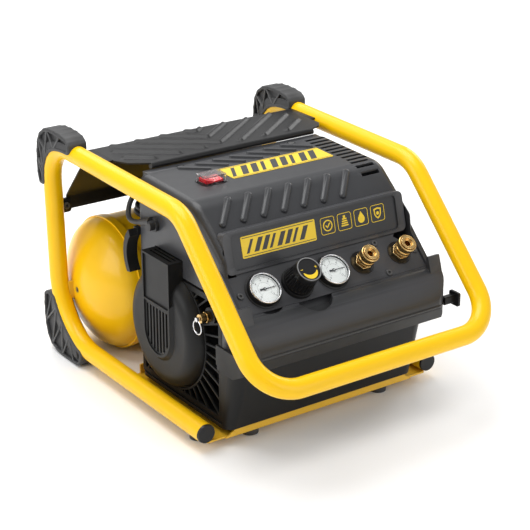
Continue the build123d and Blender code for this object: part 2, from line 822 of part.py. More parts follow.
with BuildPart() as front_bumper:
    with BuildSketch(side_plane(-185)):
        with BuildLine():
            Polyline((-205, 217.5), (-150, 262), (-150, 162), (-236.5, 162), (-236.5, 168))
            ThreePointArc((-236.5, 168), (-230.5, 196.5), (-209, 216.5))
            Line((-209, 216.5), (-205, 217.5))
        make_face()
    extrude(amount=370)
    # Raised horns at both ends of the lip
    for side in (-1, 1):
        with BuildSketch(side_plane(side * 174 - 11)):
            with BuildLine():
                Polyline((-203.5, 212), (-203.5, 236), (-208, 237), (-217, 211), close=True)
            make_face()
        extrude(amount=22)
    add(nose_plan.part, mode=Mode.INTERSECT)
    add(bumper_core.part, mode=Mode.SUBTRACT)
    with BuildSketch(Plane.XY.offset(158)):
        with Locations((0, -58)):
            Rectangle(2 * COVER_HALF + 1, 289)
    extrude(amount=120, mode=Mode.SUBTRACT)
    with BuildSketch(Plane.XY.offset(158)):
        with Locations((0, -80)):
            Rectangle(400, 236)
    extrude(amount=120, mode=Mode.SUBTRACT)
    # Scallops that clear the left gauge and the regulator knob
    with BuildSketch(panel_plane(-46, -24, -8)):
        Circle(31)
    extrude(amount=40, mode=Mode.SUBTRACT)
    with BuildSketch(panel_plane(-121, -9, -8)):
        Circle(29)
    extrude(amount=40, mode=Mode.SUBTRACT)
write(front_bumper.part, "front_bumper")

with BuildPart() as side_grille:
    with BuildSketch(side_plane(-COVER_HALF)):
        with Locations((-38, 128)):
            Rectangle(226, 194)
            Rectangle(208, 176, mode=Mode.SUBTRACT)
        with Locations((AXIS_Y, AXIS_Z)):
            Circle(SHROUD_R + 3.6)
    extrude(amount=4)
    with BuildSketch(side_plane(-COVER_HALF)):
        with Locations((AXIS_Y, AXIS_Z)):
            with PolarLocations(150, 44, 3):
                Rectangle(140, 3)
    extrude(amount=3.5)
    with BuildSketch(side_plane(-COVER_HALF)):
        with Locations((RELIEF_Y, RELIEF_Z)):
            Circle(13)
    extrude(amount=3.5)
    with BuildSketch(side_plane(-COVER_HALF - 1)):
        with Locations((RELIEF_Y, RELIEF_Z)):
            Circle(4.2)
    extrude(amount=8, mode=Mode.SUBTRACT)
    with BuildSketch(side_plane(-COVER_HALF - 1)):
        with Locations((-38, 128)):
            Rectangle(700, 700)
            Rectangle(226, 194, mode=Mode.SUBTRACT)
        with Locations((AXIS_Y, AXIS_Z)):
            Circle(SHROUD_R + 0.6)
        with Locations((30, 200)):
            Rectangle(157, 127)
    extrude(amount=8, mode=Mode.SUBTRACT)
write(side_grille.part, "side_grille")

# ---------------------------------------------------------------------------
# Fan shroud with its air duct
# ---------------------------------------------------------------------------
shroud_axis_plane = Plane(origin=(0, AXIS_Y, AXIS_Z), x_dir=(1, 0, 0), z_dir=(0, -1, 0))
DUCT_HALF = 38.0
DUCT_FACE_X = -200.0
DUCT_TOP_Z = 255.0
DUCT_LOW_Z = 131.0

with BuildPart() as fan_shroud:
    with BuildSketch(shroud_axis_plane):
        with BuildLine():
            Polyline(
                (-195, SHROUD_R - 25),
                (-195, 0),
                (-148, 0),
                (-148, SHROUD_R),
                (-170, SHROUD_R),
            )
            ThreePointArc((-170, SHROUD_R), (-187.7, SHROUD_R - 7.3), (-195, SHROUD_R - 25))
        make_face()
    revolve(axis=Axis((0, AXIS_Y, AXIS_Z), (1, 0, 0)))
    with BuildSketch(side_plane(DUCT_FACE_X)):
        with Locations((AXIS_Y, (DUCT_TOP_Z + DUCT_LOW_Z) / 2)):
            Rectangle(2 * DUCT_HALF, DUCT_TOP_Z - DUCT_LOW_Z)
        with Locations((AXIS_Y, DUCT_LOW_Z)):
            Circle(DUCT_HALF)
    extrude(amount=52)
    # Sloping apron round the lower half of the duct
    with BuildSketch(side_plane(SHROUD_FACE_X + 0.5)):
        with Locations((AXIS_Y, DUCT_LOW_Z)):
            Circle(DUCT_HALF + 6.5)
        with Locations((AXIS_Y, DUCT_LOW_Z + 30)):
            Rectangle(2 * DUCT_HALF + 13, 60)
    extrude(amount=-5, taper=52)
    with BuildSketch(shroud_axis_plane):
        with BuildLine():
            Polyline(
                (-191.5, SHROUD_R - 26),
                (-191.5, 0),
                (-147, 0),
                (-147, SHROUD_R - 3.5),
                (-169.5, SHROUD_R - 3.5),
            )
            ThreePointArc((-169.5, SHROUD_R - 3.5), (-185.2, SHROUD_R - 10), (-191.5, SHROUD_R - 26))
        make_face()
    revolve(axis=Axis((0, AXIS_Y, AXIS_Z), (1, 0, 0)), mode=Mode.SUBTRACT)
    with BuildSketch(side_plane(DUCT_FACE_X + 6)):
        with Locations((AXIS_Y, (DUCT_TOP_Z - 3 + DUCT_LOW_Z) / 2)):
            Rectangle(2 * DUCT_HALF - 6, DUCT_TOP_Z - 3 - DUCT_LOW_Z)
    extrude(amount=50, mode=Mode.SUBTRACT)
    # Recessed flat panel above, open slots below
    with BuildSketch(side_plane(DUCT_FACE_X)):
        with Locations((AXIS_Y, 216)):
            Rectangle(2 * DUCT_HALF - 7, 72)
    extrude(amount=2.5, mode=Mode.SUBTRACT)
    with BuildSketch(side_plane(DUCT_FACE_X)):
        with Locations((AXIS_Y, 154)):
            Rectangle(2 * DUCT_HALF - 8, 46)
        with Locations((AXIS_Y, DUCT_LOW_Z)):
            Circle(DUCT_HALF - 4)
    extrude(amount=2, mode=Mode.SUBTRACT)
    for index in range(7):
        slot_y = -27 + index * 9
        slot_foot = DUCT_LOW_Z - math.sqrt((DUCT_HALF - 7) ** 2 - slot_y**2)
        with BuildSketch(side_plane(DUCT_FACE_X - 1)):
            with Locations((AXIS_Y + slot_y, (172 + slot_foot) / 2)):
                Rectangle(4.6, 172 - slot_foot)
        extrude(amount=20, mode=Mode.SUBTRACT)
    # Slots in the top of the duct
    for index in range(5):
        with BuildSketch(Plane.XY.offset(DUCT_TOP_Z - 6)):
            with Locations((-189 + index * 7.5, AXIS_Y)):
                Rectangle(4, 58)
        extrude(amount=10, mode=Mode.SUBTRACT)
write(fan_shroud.part, "fan_shroud")

# ---------------------------------------------------------------------------
# Control panel
# ---------------------------------------------------------------------------
GAUGE_R = 25.0
gauge_spots = {"left": -121.0, "right": 3.0}
KNOB_X = -61.0
KNOB_ALONG = -2.0
coupler_spots = {"left": 61.0, "right": 132.0}
COUPLER_ALONG = 2.0
panel_screw_spots = [(-160, 1), (98, 27), (97, -25), (160, 0)]

with BuildPart() as control_panel:
    with BuildSketch(panel_plane(0, 0, -3)):
        with Locations((0, 0.5)):
            Rectangle(334, 63)
        with Locations((0, 33)):
            Rectangle(300, 6)
        with Locations((158, 30)):
            Rectangle(30, 30, rotation=45, mode=Mode.SUBTRACT)
        for gauge_x in gauge_spots.values():
            with Locations((gauge_x, 0)):
                Circle(GAUGE_R + 0.2, mode=Mode.SUBTRACT)
        with Locations((KNOB_X, KNOB_ALONG)):
            Circle(16.5, mode=Mode.SUBTRACT)
        for coupler_x in coupler_spots.values():
            with Locations((coupler_x, COUPLER_ALONG)):
                Circle(8.2, mode=Mode.SUBTRACT)
        with Locations(*panel_screw_spots):
            Circle(2.6, mode=Mode.SUBTRACT)
    extrude(amount=3)
    add(nameplate_block.part, mode=Mode.SUBTRACT)
write(control_panel.part, "control_panel")

# Screws of the top cover and of the control panel
with BuildPart() as cover_screws:
    for side in (-1, 1):
        with BuildSketch(Plane(origin=(side * 104, 65, 355.8))):
            Circle(5.5)
        extrude(amount=1.8)
        with BuildSketch(Plane(origin=(side * 104, 65, 342))):
            Circle(2.9)
        extrude(amount=13.8)
    for screw_x, screw_along in panel_screw_spots:
        with BuildSketch(panel_plane(screw_x, screw_along, 0)):
            Circle(5.2)
        extrude(amount=2.4, taper=15)
        with BuildSketch(panel_plane(screw_x, screw_along, 2.4)):
            RegularPolygon(2.2, 6)
        extrude(amount=-1.8, mode=Mode.SUBTRACT)
        with BuildSketch(panel_plane(screw_x, screw_along, 0)):
            Circle(2.5)
        extrude(amount=-9)
write(cover_screws.part, "cover_screws")

# Pressure gauges: a cup-shaped case with a flange, a dial with its centre pin, a needle and a lens
with BuildPart() as gauge_cases:
    for gauge_x in gauge_spots.values():
        with BuildSketch(panel_plane(gauge_x, 0, -16)):
            Circle(GAUGE_R - 1)
        extrude(amount=16)
        with BuildSketch(panel_plane(gauge_x, 0, 0)):
            Circle(GAUGE_R)
        extrude(amount=12)
        with BuildSketch(panel_plane(gauge_x, 0, 0)):
            Circle(GAUGE_R + 3.5)
        extrude(amount=1)
    outer_circles = gauge_cases.edges().filter_by(GeomType.CIRCLE).filter_by(lambda e: e.radius > GAUGE_R - 0.01)
    fillet(outer_circles.sort_by(Axis.Z)[-2:], 1)
    for gauge_x in gauge_spots.values():
        with BuildSketch(panel_plane(gauge_x, 0, 12)):
            Circle(GAUGE_R - 2)
        extrude(amount=-6, mode=Mode.SUBTRACT)
        with BuildSketch(panel_plane(gauge_x, 0, -16)):
            Circle(6)
        extrude(amount=-8)
write(gauge_cases.part, "gauge_cases")

with BuildPart() as gauge_dials:
    for gauge_x in gauge_spots.values():
        with BuildSketch(panel_plane(gauge_x, 0, 6)):
            Circle(GAUGE_R - 2.1)
        extrude(amount=0.8)
        with BuildSketch(panel_plane(gauge_x, 0, 6.8)):
            Circle(0.9)
        extrude(amount=1.8)
write(gauge_dials.part, "gauge_dials")

with BuildPart() as gauge_lenses:
    for gauge_x in gauge_spots.values():
        with BuildSketch(panel_plane(gauge_x, 0, 9.6)):
            Circle(GAUGE_R - 2.1)
        extrude(amount=1.6)
write(gauge_lenses.part, "gauge_lenses")

for side_name, gauge_x in gauge_spots.items():
    with BuildPart() as gauge_needle:
        with BuildSketch(panel_plane(gauge_x, 0, 7.5)):
            Circle(2.6)
            with BuildLine():
                Polyline((-7, -1), (-7, 1), (18, 0.35), (18, -0.35), close=True)
            make_face()
            Circle(0.95, mode=Mode.SUBTRACT)
        extrude(amount=0.6)
    write(gauge_needle.part, f"{side_name}_gauge_needle")

# Pressure regulator
with BuildPart() as regulator_body:
    with BuildSketch(panel_plane(KNOB_X, KNOB_ALONG, -34)):
        RectangleRounded(40, 36, 4)
    extrude(amount=26)
    with BuildSketch(panel_plane(KNOB_X, KNOB_ALONG, -8)):
        Circle(15.5)
    extrude(amount=14)
    with BuildSketch(panel_plane(KNOB_X, KNOB_ALONG, 0)):
        Circle(26)
    extrude(amount=5.5, taper=12)
    with BuildSketch(panel_plane(KNOB_X, KNOB_ALONG, 6)):
        Circle(6)
    extrude(amount=12)
write(regulator_body.part, "regulator_body")

with BuildPart() as regulator_knob:
    with BuildSketch(panel_plane(KNOB_X, KNOB_ALONG, 7)):
        Circle(22.5)
    extrude(amount=36, taper=4.8)
    with BuildSketch(panel_plane(KNOB_X, KNOB_ALONG, 7)):
        with PolarLocations(22.3, 24):
            Circle(1.5)
    extrude(amount=20, mode=Mode.SUBTRACT)
    with BuildSketch(panel_plane(KNOB_X, KNOB_ALONG, 6)):
        Circle(6.05)
    extrude(amount=15, mode=Mode.SUBTRACT)
    with BuildSketch(panel_plane(KNOB_X, KNOB_ALONG, 43)):
        Circle(17.2)
    extrude(amount=-2, mode=Mode.SUBTRACT)
write(regulator_knob.part, "regulator_knob")

with BuildPart() as regulator_knob_cap:
    with BuildSketch(panel_plane(KNOB_X, KNOB_ALONG, 41)):
        Circle(17.1)
    extrude(amount=1.6)
write(regulator_knob_cap.part, "regulator_knob_cap")

# Quick couplers: fixed body with a plug bore, spring-loaded sleeve
COUPLER_BORE = 4.6
COUPLER_MOUTH = 29.2
COUPLER_BORE_DEPTH = 18.6
with BuildPart() as coupler_bodies:
    for coupler_x in coupler_spots.values():
        with BuildSketch(panel_plane(coupler_x, COUPLER_ALONG, -24)):
            Circle(8)
        extrude(amount=24)
        with BuildSketch(panel_plane(coupler_x, COUPLER_ALONG, 0)):
            RegularPolygon(14, 6)
        extrude(amount=6)
        with BuildSketch(panel_plane(coupler_x, COUPLER_ALONG, 6)):
            Circle(9)
        extrude(amount=25)
        with BuildSketch(panel_plane(coupler_x, COUPLER_ALONG, 31)):
            Circle(11.6)
        extrude(amount=1.6)
        with BuildSketch(panel_plane(coupler_x, COUPLER_ALONG, COUPLER_MOUTH)):
            Circle(7.4)
        extrude(amount=6, mode=Mode.SUBTRACT)
        with BuildSketch(panel_plane(coupler_x, COUPLER_ALONG, COUPLER_MOUTH)):
            Circle(COUPLER_BORE)
        extrude(amount=-COUPLER_BORE_DEPTH, mode=Mode.SUBTRACT)
        with BuildSketch(panel_plane(coupler_x, COUPLER_ALONG, -24)):
            Circle(3)
        extrude(amount=30, mode=Mode.SUBTRACT)
write(coupler_bodies.part, "coupler_bodies")

for side_name, coupler_x in coupler_spots.items():
    with BuildPart() as coupler_sleeve:
        with BuildSketch(panel_plane(coupler_x, COUPLER_ALONG, 11)):
            Circle(13.8)
        extrude(amount=8)
        with BuildSketch(panel_plane(coupler_x, COUPLER_ALONG, 19)):
            Circle(13)
        extrude(amount=5)
        with BuildSketch(panel_plane(coupler_x, COUPLER_ALONG, 24)):
            Circle(14.4)
        extrude(amount=6.5)
        with BuildSketch(panel_plane(coupler_x, COUPLER_ALONG, 11)):
            Circle(9.05)
        extrude(amount=20, mode=Mode.SUBTRACT)
    write(coupler_sleeve.part, f"{side_name}_coupler_sleeve")

# Brass manifold behind the panel, joining regulator and couplers
with BuildPart() as outlet_manifold:
    with BuildSketch(panel_plane(64, COUPLER_ALONG, -40)):
        RectangleRounded(166, 20, 3)
    extrude(amount=15.8)
    with BuildSketch(panel_plane(-3, COUPLER_ALONG, -32)):
        Circle(6)
    extrude(amount=-30)
write(outlet_manifold.part, "outlet_manifold")

# ---------------------------------------------------------------------------
# Safety relief valve on the left side, with its pull ring
# ---------------------------------------------------------------------------

def relief_plane(out):
    """Plane across the relief valve, `out` measured from the grille towards the left."""
    return Plane(origin=(-COVER_HALF - out, RELIEF_Y, RELIEF_Z), x_dir=(0, 1, 0), z_dir=(-1, 0, 0))


with BuildPart() as relief_valve_body:
    with BuildSketch(relief_plane(-34)):
        Circle(4)
    extrude(amount=35)
    with BuildSketch(relief_plane(1)):
        RegularPolygon(8.5, 6)
    extrude(amount=7)
    with BuildSketch(relief_plane(8)):
        Circle(7)
    extrude(amount=10)
    with BuildSketch(relief_plane(18)):
        Circle(1.8)
    extrude(amount=-12, mode=Mode.SUBTRACT)
write(relief_valve_body.part, "relief_valve_body")

with BuildPart() as relief_valve_ring:
    with BuildSketch(relief_plane(8)):
        Circle(1.75)
    extrude(amount=15.5)
    with BuildSketch(relief_plane(19)):
        Circle(3.4)
    extrude(amount=5)
    ring_plane = Plane(
        origin=(-COVER_HALF - 21.5, RELIEF_Y, RELIEF_Z - 12.5),
        x_dir=(0, 0, 1),
        z_dir=(0, 1, 0),
    )
    with BuildSketch(ring_plane):
        with Locations((10.5, 0)):
            Circle(1.1)
    revolve(axis=Axis((-COVER_HALF - 21.5, RELIEF_Y, RELIEF_Z - 12.5), (1, 0, 0)))
write(relief_valve_ring.part, "relief_valve_ring")

# ---------------------------------------------------------------------------
# Rocker switch under a clear boot
# ---------------------------------------------------------------------------
switch_z = 354 + (SWITCH_Y + 78) * 4 / (COVER_BACK_Y + 78)


def switch_plane(lift):
    """Plane parallel to the cover's top at the switch."""
    return Plane(
        origin=(
            SWITCH_X,
            SWITCH_Y - lift * math.sin(top_tilt_angle),
            switch_z + lift * math.cos(top_tilt_angle),
        ),
        x_dir=(1, 0, 0),
        z_dir=(0, -math.sin(top_tilt_angle), math.cos(top_tilt_angle)),
    )


switch_side = Plane(
    origin=(SWITCH_X, SWITCH_Y, switch_z),
    x_dir=(1, 0, 0),
    z_dir=(0, -math.cos(top_tilt_angle), -math.sin(top_tilt_angle)),
)

with BuildPart() as switch_bezel:
    with BuildSketch(switch_plane(-20)):
        Rectangle(34.4, 22.4)
    extrude(amount=20.2)
    with BuildSketch(switch_plane(0.1)):
        RectangleRounded(37, 25, 3.9)
    extrude(amount=1.4)
    with BuildSketch(switch_plane(2)):
        Rectangle(32, 20)
    extrude(amount=-16, mode=Mode.SUBTRACT)
    with BuildSketch(switch_side.offset(-10.8)):
        with Locations((0, -4)):
            Circle(1.5)
    extrude(amount=21.6, mode=Mode.SUBTRACT)
write(switch_bezel.part, "switch_bezel")

with BuildPart() as switch_rocker:
    with BuildSketch(switch_side.offset(-9.4)):
        with BuildLine():
            Polyline((-15, -7), (15, -7), (15, 4.4), (0, 2.6), (-15, 7), close=True)
        make_face()
    extrude(amount=18.8)
    with BuildSketch(switch_side.offset(-10.6)):
        with Locations((0, -4)):
            Circle(1.44)
    extrude(amount=21.2)
write(switch_rocker.part, "switch_rocker")

with BuildPart() as switch_boot:
    with BuildSketch(switch_plane(0.1)):
        RectangleRounded(40, 28, 5)
    extrude(amount=12.5)
    with BuildSketch(switch_plane(0)):
        RectangleRounded(37.6, 25.6, 4)
    extrude(amount=11.1, mode=Mode.SUBTRACT)
    chamfer(switch_boot.faces().sort_by(Axis.Z)[-1].outer_wire().edges(), 1.0)
write(switch_boot.part, "switch_boot")

# ---------------------------------------------------------------------------
# Motor and pump under the covers
# ---------------------------------------------------------------------------
CYLINDER_X = 26.0


def axle_plane(x):
    """Plane across the motor axis at the given x, facing +X."""
    return Plane(origin=(x, AXIS_Y, AXIS_Z), x_dir=(0, 1, 0), z_dir=(1, 0, 0))


def bore_plane(z):
    """Plane across the pump cylinder's axis at the given height."""
    return Plane(origin=(CYLINDER_X, AXIS_Y, z), x_dir=(1, 0, 0), z_dir=(0, 0, 1))


with BuildPart() as motor_stator:
    with BuildSketch(axle_plane(-108)):
        Circle(64)
        Circle(37, mode=Mode.SUBTRACT)
    extrude(amount=90)
    with BuildSketch(axle_plane(-100)):
        with PolarLocations(66, 24):
            Rectangle(6, 3)
    extrude(amount=80)
write(motor_stator.part, "motor_stator")

with BuildPart() as motor_mount:
    with BuildSketch(axle_plane(-95)):
        with BuildLine():
            Polyline((-58, -AXIS_Z + 27.2), (58, -AXIS_Z + 27.2), (48, -30), (-48, -30), close=True)
        make_face()
        Circle(69.5, mode=Mode.SUBTRACT)
    extrude(amount=70)
write(motor_mount.part, "motor_mount")

with BuildPart() as motor_rotor:
    with BuildSketch(axle_plane(-186)):
        Circle(7)
    extrude(amount=222)
    with BuildSketch(axle_plane(-106)):
        Circle(36)
    extrude(amount=92)
write(motor_rotor.part, "motor_rotor")

with BuildPart() as cooling_fan:
    with BuildSketch(axle_plane(-184)):
        Circle(22)
    extrude(amount=24)
    for blade in range(9):
        turn = blade * 40
        blade_plane = Plane(
            origin=(
                -172,
                AXIS_Y + 50 * math.cos(math.radians(turn)),
                AXIS_Z + 50 * math.sin(math.radians(turn)),
            ),
            x_dir=(0, math.cos(math.radians(turn)), math.sin(math.radians(turn))),
            z_dir=(
                0.8,
                -0.6 * math.sin(math.radians(turn)),
                0.6 * math.cos(math.radians(turn)),
            ),
        )
        with BuildSketch(blade_plane):
            Rectangle(60, 26)
        extrude(amount=2)
    with BuildSketch(axle_plane(-190)):
        Circle(7)
    extrude(amount=40, mode=Mode.SUBTRACT)
write(cooling_fan.part, "cooling_fan")

with BuildPart() as crankcase:
    with BuildSketch(axle_plane(-10)):
        Circle(50)
    extrude(amount=72)
    with BuildSketch(bore_plane(AXIS_Z)):
        Circle(34)
    extrude(amount=60)
    with BuildSketch(axle_plane(-2)):
        Circle(42)
    extrude(amount=56, mode=Mode.SUBTRACT)
    with BuildSketch(bore_plane(AXIS_Z)):
        Circle(26)
    extrude(amount=62, mode=Mode.SUBTRACT)
    with BuildSketch(axle_plane(-12)):
        Circle(7.05)
    extrude(amount=14, mode=Mode.SUBTRACT)
write(crankcase.part, "crankcase")

with BuildPart() as crank_counterweight:
    with BuildSketch(axle_plane(20)):
        Circle(30)
        with Locations((0, 18)):
            Rectangle(70, 26, mode=Mode.SUBTRACT)
        Circle(13)
        Circle(7, mode=Mode.SUBTRACT)
    extrude(amount=14)
write(crank_counterweight.part, "crank_counterweight")

with BuildPart() as pump_cylinder:
    with BuildSketch(bore_plane(AXIS_Z + 60)):
        Circle(32)
    extrude(amount=58)
    for fin in range(7):
        with BuildSketch(bore_plane(AXIS_Z + 62 + fin * 7.6)):
            RectangleRounded(84, 84, 12)
        extrude(amount=2.4)
    with BuildSketch(bore_plane(AXIS_Z + 59)):
        Circle(25)
    extrude(amount=60, mode=Mode.SUBTRACT)
write(pump_cylinder.part, "pump_cylinder")

with BuildPart() as piston_rod:
    with BuildSketch(bore_plane(AXIS_Z + 88)):
        Circle(24.95)
    extrude(amount=12)
    with BuildSketch(bore_plane(AXIS_Z + 44)):
        Rectangle(9, 15)
    extrude(amount=44)
write(piston_rod.part, "piston_rod")

with BuildPart() as cylinder_head:
    with BuildSketch(bore_plane(AXIS_Z + 118)):
        RectangleRounded(84, 84, 10)
    extrude(amount=24)
    for groove in range(6):
        with BuildSketch(bore_plane(AXIS_Z + 128)):
            with Locations((-30 + groove * 12, 0)):
                Rectangle(5, 90)
        extrude(amount=20, mode=Mode.SUBTRACT)
write(cylinder_head.part, "cylinder_head")

pipe_points = [
    (CYLINDER_X + 42.6, AXIS_Y, AXIS_Z + 123),
    (PIPE_X, AXIS_Y + 4, AXIS_Z + 125),
    (PIPE_X, AXIS_Y + 40, PIPE_Z),
    (PIPE_X, 150, PIPE_Z),
    (86, 212, PIPE_Z + 2),
    (70, TANK_Y, PIPE_Z),
    (70, TANK_Y, 251),
]
pipe_radii = [13, 18, 30, 30, 12]
with BuildPart() as delivery_pipe:
    with BuildLine():
        FilletPolyline(*pipe_points, radius=pipe_radii)
    pipe_heading = Vector(*pipe_points[1]) - Vector(*pipe_points[0])
    with BuildSketch(Plane(origin=pipe_points[0], z_dir=pipe_heading)):
        Circle(5)
        Circle(3.8, mode=Mode.SUBTRACT)
    sweep()
write(delivery_pipe.part, "delivery_pipe")

with BuildPart() as check_valve:
    with BuildSketch(Plane(origin=(70, TANK_Y, 231))):
        RegularPolygon(12, 6)
    extrude(amount=12)
    with BuildSketch(Plane(origin=(70, TANK_Y, 243))):
        Circle(8)
    extrude(amount=8)
    with BuildSketch(Plane(origin=(70, TANK_Y, 231))):
        Circle(6)
    extrude(amount=-9)
write(check_valve.part, "check_valve")

with BuildPart() as pressure_switch:
    with BuildSketch(Plane(origin=(-112, 44, 284))):
        RectangleRounded(52, 42, 5)
    extrude(amount=52)
    with BuildSketch(Plane(origin=(-112, 44, 284))):
        Circle(9)
    extrude(amount=-16)
write(pressure_switch.part, "pressure_switch")

with BuildPart() as start_capacitor:
    with BuildSketch(Plane(origin=(92, 42, 52), z_dir=(1, 0, 0))):
        Circle(20)
    extrude(amount=66)
    with BuildSketch(Plane(origin=(92, 42, 52), z_dir=(1, 0, 0))):
        Circle(12)
    extrude(amount=-5)
write(start_capacitor.part, "start_capacitor")

# ---------------------------------------------------------------------------
# Cord storage: hooks, gland, cord, stowed coil and plug
# ---------------------------------------------------------------------------
with BuildPart() as cord_hooks:
    with BuildSketch(Plane(origin=(179.5, -228, 168), z_dir=(1, 0, 0))):
        RectangleRounded(13, 10, 2)
    extrude(amount=19.5)
    with BuildSketch(Plane(origin=(199, -230, 168), z_dir=(1, 0, 0))):
        RectangleRounded(22, 22, 3)
    extrude(amount=4)
    with BuildSketch(side_plane(-189)):
        with BuildLine():
            ThreePointArc((84, 268), (101, 236), (92, 196))
            Line((92, 196), (82, 198))
            ThreePointArc((82, 198), (91, 234), (80, 258))
            Line((80, 258), (84, 268))
        make_face()
    extrude(amount=19)
    with BuildSketch(side_plane(-175)):
        with Locations((86, 262)):
            Rectangle(12, 12)
    extrude(amount=8)
    add(front_bumper.part, mode=Mode.SUBTRACT)
write(cord_hooks.part, "cord_hooks")

GLAND_X = -184.0
cord_start = (GLAND_X, 54, 288)
cord_points = [
    cord_start,
    (-185, 76, 281),
    (-182, 97, 284),
    (-171, 108, 303),
    (-152, 114, 317),
    (-132, 127, 314),
    (-116, 143, 296),
    (-104, 158, 273),
    (-92, 170, 251),
    (-74, 177, 235),
]
with BuildPart() as cord_gland:
    with BuildSketch(Plane(origin=(-COVER_HALF, 26, 291), z_dir=(-1, 0, 0))):
        Circle(11)
    extrude(amount=5)
    with BuildSketch(Plane(origin=(-COVER_HALF - 5, 26, 291), z_dir=(-1, 0, 0))):
        Circle(8)
    extrude(amount=9)
    gland_heading = Vector(*cord_points[1]) - Vector(*cord_points[0])
    with BuildSketch(Plane(origin=(GLAND_X, 54, 288), z_dir=gland_heading)):
        Circle(5.2)
    extrude(amount=-30, taper=-4)
write(cord_gland.part, "cord_gland")


def corner_radii(points):
    """Largest tangent arcs that the two runs at each corner leave room for."""
    radii = []
    for before, corner, after in zip(points, points[1:], points[2:]):
        run_in = Vector(*corner) - Vector(*before)
        run_out = Vector(*after) - Vector(*corner)
        half_turn = math.radians(run_in.get_angle(run_out)) / 2
        radii.append(0.45 * min(run_in.length, run_out.length) / math.tan(half_turn))
    return radii


def cord_tube(points, name):
    """Round cord along straight runs joined by tangent arcs."""
    radii = corner_radii(points)
    print(name, "corner radii", [round(radius, 1) for radius in radii])
    with BuildPart() as tube:
        with BuildLine() as route:
            FilletPolyline(*points, radius=radii)
        heading = Vector(*points[1]) - Vector(*points[0])
        with BuildSketch(Plane(origin=points[0], z_dir=heading)):
            Circle(CORD_D / 2)
        sweep()
    length = sum(edge.length for edge in route.edges())
    print(name, "length", round(length, 1), "volume ratio",
          round(tube.part.volume / (length * math.pi * CORD_D**2 / 4), 4))
    return tube


power_cord = cord_tube(cord_points, "power_cord")
write(power_cord.part, "power_cord")

# Stowed coil lying on top of the receiver: about four turns, eleven cord diameters across
COIL_X = -40.0
COIL_Y = 221.0
COIL_R = 44.0
COIL_Z = 224.5
with BuildPart() as cord_coil:
    with BuildSketch(Plane(origin=(COIL_X, COIL_Y, COIL_Z))):
        Circle(COIL_R + 12)
        Circle(COIL_R - 12, mode=Mode.SUBTRACT)
    extrude(amount=16)
    fillet(cord_coil.edges().filter_by(GeomType.CIRCLE), 5)
write(cord_coil.part, "cord_coil")

plug_lead_points = [
    (-0.4, 181.4, 232.5),
    (12, 191.5, 233),
    (26, 199, 234),
    (42, 203, 234),
    (58, 204.5, 234),
]
plug_lead = cord_tube(plug_lead_points, "plug_lead")
write(plug_lead.part, "plug_lead")

plug_heading = Vector(*plug_lead_points[-1]) - Vector(*plug_lead_points[-2])
plug_plane = Plane(origin=plug_lead_points[-1], x_dir=(0, 0, 1), z_dir=(plug_heading.X, plug_heading.Y, 0))
with BuildPart() as mains_plug:
    with BuildSketch(plug_plane):
        Circle(6)
    extrude(amount=16)
    with BuildSketch(plug_plane.offset(16)):
        RectangleRounded(22, 24, 5)
    with BuildSketch(plug_plane.offset(40)):
        RectangleRounded(25, 38, 8)
    loft()
    for pin_offset in (-9.5, 9.5):
        with BuildSketch(plug_plane.offset(40)):
            with Locations((0, pin_offset)):
                Circle(2.2)
        extrude(amount=18)
write(mains_plug.part, "mains_plug")
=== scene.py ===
"""Looks of the roll-cage air compressor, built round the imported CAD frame. Metres, +Z up."""

import math

import bmesh
import bpy
from mathutils import Matrix, Vector


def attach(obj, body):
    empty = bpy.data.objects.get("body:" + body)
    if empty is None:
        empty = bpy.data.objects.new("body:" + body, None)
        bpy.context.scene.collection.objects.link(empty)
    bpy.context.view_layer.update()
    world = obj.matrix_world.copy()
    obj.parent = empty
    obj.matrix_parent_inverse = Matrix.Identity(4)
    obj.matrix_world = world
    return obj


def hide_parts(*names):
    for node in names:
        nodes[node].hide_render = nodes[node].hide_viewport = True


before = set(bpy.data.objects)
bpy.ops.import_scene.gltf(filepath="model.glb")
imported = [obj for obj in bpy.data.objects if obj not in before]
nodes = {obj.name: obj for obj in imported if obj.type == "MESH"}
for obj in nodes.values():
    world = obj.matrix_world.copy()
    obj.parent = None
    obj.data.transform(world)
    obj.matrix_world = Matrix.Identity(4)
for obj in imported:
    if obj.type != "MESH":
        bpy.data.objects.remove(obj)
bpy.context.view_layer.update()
scene = bpy.context.scene

MM = 0.001
# The CAD is drawn from the middle of the cage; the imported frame's origin lies this much further back.
ORIGIN_Y = 16.45


def mm(x, y, z):
    """A point in cage millimetres as a vector in the frame, in metres."""
    return Vector((x * MM, (y - ORIGIN_Y) * MM, z * MM))


# ---------------------------------------------------------------------------
# Camera, light and floor
# ---------------------------------------------------------------------------
camera_data = bpy.data.cameras.new("camera")
camera_data.lens = 109.4
camera_data.sensor_width = 36.0
camera = bpy.data.objects.new("camera", camera_data)
camera.location = (-1.3387, -1.9188 - ORIGIN_Y * MM, 1.1466)
camera.rotation_euler = Vector((0.5318, 0.7581, -0.3775)).to_track_quat("-Z", "Y").to_euler()
scene.collection.objects.link(camera)
scene.camera = camera

world = bpy.data.worlds.new("studio")
world.use_nodes = True
world.node_tree.nodes["Background"].inputs["Color"].default_value = (1.0, 1.0, 1.0, 1.0)
world.node_tree.nodes["Background"].inputs["Strength"].default_value = 0.55
scene.world = world
scene.view_settings.view_transform = "Standard"


def area_light(name, place, target, size, power):
    """A square soft box aimed at a point."""
    light = bpy.data.lights.new(name, "AREA")
    light.shape = "SQUARE"
    light.size = size
    light.energy = power
    holder = bpy.data.objects.new(name, light)
    holder.location = place
    holder.rotation_euler = (Vector(target) - Vector(place)).to_track_quat("-Z", "Y").to_euler()
    scene.collection.objects.link(holder)


